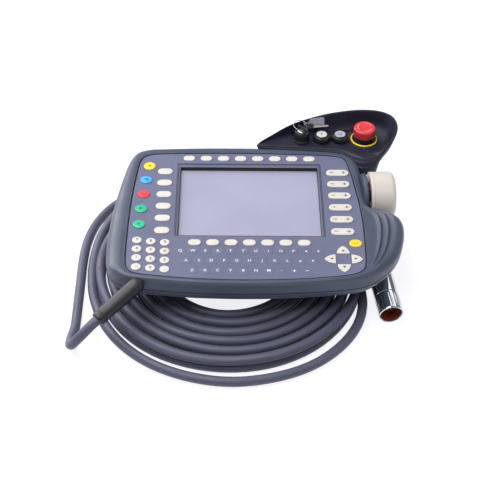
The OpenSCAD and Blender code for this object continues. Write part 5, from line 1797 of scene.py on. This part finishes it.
        lean, r, aside = radians(12), 8.0, Matrix.Rotation(radians(-10.6), 3, "Z")

        def on_ring(a: float) -> Vector:
            return hole_at + aside @ (r * Vector((cos(lean) * (cos(a) - 1), sin(a), sin(lean) * (1 - cos(a)))))

        wire = [place @ on_ring(2 * pi * i / 72) for i in range(72)]
        mesh = self.tools.tube("key_ring_wire", wire, 0.33, Surface.STEEL, 12, True)
        settle("key_ring_wire", mesh, "key_ring", ("key_ring",))

        def hung(at: float, yaw: float, tilt: float) -> Matrix:
            swung = place @ Matrix.Translation(on_ring(radians(at))) @ Matrix.Rotation(radians(yaw) - turn, 4, "Z")
            return swung @ turned(tilt, "X")

        tag = Draft("key_ring_tag", hung(66.7, 12, 70))
        body = [(-3.5, -1.6), (-3.2, -2.4), (-2.4, -2.8), (4.2, -2.8), (6.2, -4), (20, -4), (21, -3.6), (21.5, -2.6),
                (21.5, 5.6), (21.3, 6.4), (20.4, 7), (5, 7), (3.9, 5.9), (3, 3),
                (-2.9, 2.9), (-3.5, 2.2)]
        outline = [(x - 8, y - 1.5) for x, y in self.even(body, 48)]
        self.plate(tag, outline, (8, 1.5), 0.8, Surface.TAG)
        tag.build("key_ring", "steel", (), 30)
        spare = Draft("key_ring_spare", hung(51.1, 8, 74))
        self.plate(spare, obround(12, 5.6), (2, 0.2), 1.6, Surface.BLADE)
        blade = [(6, -2), (25, -2), (26, -1.4), (24.8, -0.2), (23.4, -0.6), (21.9, -0.2), (20.2, -0.7), (18.4, -0.2),
                 (16.7, -0.5), (14.8, -0.1), (6, -0.1)]
        spare.loft([at_height(blade, 0.25), at_height(blade, 1.35)], Surface.NICKEL_SILVER)
        spare.build("key_ring", "steel", (), 30)

    @staticmethod
    def even(outline: Outline, n: int) -> Outline:
        """Places n points at even distances round an outline.

        Args:
            outline: the outline's corners.
            n: number of points.
        Returns:
            The finer outline.
        """
        closed = outline + outline[:1]
        girth = sum(hypot(b[0] - a[0], b[1] - a[1]) for a, b in zip(closed, closed[1:]))
        return [(p.x, p.y) for p in resample([(x, y, 0) for x, y in closed], girth / n)[:n]]

    @staticmethod
    def plate(draft: Draft, outline: Outline, shift: Point, high: float, surface: Surface) -> None:
        """Adds a thin plate that lies on the draft's own floor, with a ring hole at its origin and softened edges.

        Args:
            draft: the draft that gets it.
            outline: its outline about its own middle.
            shift: where that middle goes.
            high: its thickness.
            surface: its finish.
        """
        n = len(outline)
        rim = [(x + shift[0], y + shift[1]) for x, y in outline]
        start = min(range(n), key=lambda i: abs(atan2(rim[i][1], rim[i][0])))
        rim = rim[start:] + rim[:start]
        hole = circle(RING_HOLE_R, n)
        wide = [(x * 1.05, y * 1.05) for x, y in hole]
        edge = 0.15
        share = 1 - edge / 6
        slim = [(shift[0] + (x - shift[0]) * share, shift[1] + (y - shift[1]) * share) for x, y in rim]
        draft.loft([at_height(slim, 0.0), at_height(rim, edge), at_height(rim, high - edge), at_height(slim, high),
                    at_height(wide, high), at_height(hole, high - edge), at_height(hole, edge), at_height(wide, 0.0)],
                   surface, loop=True)

    def build(self) -> None:
        """Builds the console."""
        self.base()
        self.stop()
        self.buttons()
        self.key_switch()


# ---------------------------------------------------------------- the jog puck

@dataclass
class Puck:
    """The cream six-way jog puck on the right flank and the seat behind it.

    The gap is between the seat's face and the cap, along the puck's axis. The yaw is in degrees.
    """
    centre: tuple[float, float, float] = (132.9, 21, -9.5)
    yaw: float = 3.1
    radius: float = 27.5
    width: float = 28.5
    gap: float = 5.0

    def build(self) -> None:
        """Builds the seat and the cap; the parts between them are the CAD's own."""
        place = Matrix.Translation(self.centre) @ turned(self.yaw, "Z") @ turned(90, "Y")
        seat = Draft("puck_seat_moulding", place)
        seat.lathe([(0, -3), (25.2, -3), (25.8, -2.4), (26, -1.2), (26, 0.2), (25.6, 1.1), (24.8, 1.7), (23.6, 1.9),
                    (8.2, 1.9), (7.4, 2.2), (7, 2.9), (7, 19.6), (6.6, 20), (0, 20)],
                   Surface.HOUSING, 96)
        seat.build(HOUSING, "housing_plastic", ("puck_seat",), 34)
        r, w = self.radius, self.width
        cap = Draft("puck_cap_moulding", place @ Matrix.Translation((0, 0, self.gap)))
        profile = [(16.05, 18), (16.05, 0), (r - 1.2, 0), (r - 0.5, 0.15), (r - 0.12, 0.5), (r, 1.1), (r, 3.2),
                   (r - 0.12, 3.35), (r - 0.55, 3.5), (r - 0.55, 4.1),
                   (r - 0.12, 4.25), (r, 4.4), (r, w - 6.4), (r - 0.15, w - 5), (r - 0.55, w - 3.7), (r - 1.2, w - 2.5),
                   (r - 2.1, w - 1.5), (r - 3.3, w - 0.7),
                   (r - 4.8, w - 0.2), (r - 6.4, w), (14, w - 0.25), (7, w - 0.7), (0, w - 0.85)]
        cap.lathe(profile, Surface.PUCK, 128)
        cap.build("puck_cap", "puck_plastic", ("puck_cap",), 30)


# ---------------------------------------------------------------- the CAD's own nodes that still show

KEPT = {"key_panel": Surface.PANEL, "display_window": Surface.WINDOW, "lcd_module": Surface.LCD,
        "key_mat": Surface.SILICONE, "key_board": Surface.BOARD,
        "main_board": Surface.BOARD, "housing_seal": Surface.SEAL, "contact_blocks": Surface.CONTACT,
        "estop_plunger": Surface.ACETAL,
        "puck_core": Surface.ACETAL, "puck_gimbal": Surface.ZINC}


@dataclass
class Pendant:
    """The whole teach pendant."""
    tools: Tools = field(default_factory=Tools)

    def paint_kept(self) -> None:
        """Gives every CAD node its material, the kept ones their own and the rest the housing's."""
        for name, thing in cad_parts.items():
            surface = KEPT.get(name, Surface.HOUSING)
            thing.data.materials.clear()
            thing.data.materials.append(Paint.of(surface))

    def build(self) -> None:
        """Builds every sub-assembly."""
        self.paint_kept()
        Lead(self.tools).build()
        Housing(self.tools).build()
        Display().build()
        Keyboard().build()
        Console(self.tools).build()
        Puck().build()


def main() -> None:
    """Builds the studio and the pendant."""
    logging.basicConfig(level=logging.INFO, format="%(name)s: %(message)s")
    Studio().build()
    Pendant().build()
    for group in list(bpy.data.node_groups):
        if not group.users:
            bpy.data.node_groups.remove(group)
    bpy.context.view_layer.update()


if __name__ == "__main__":
    main()
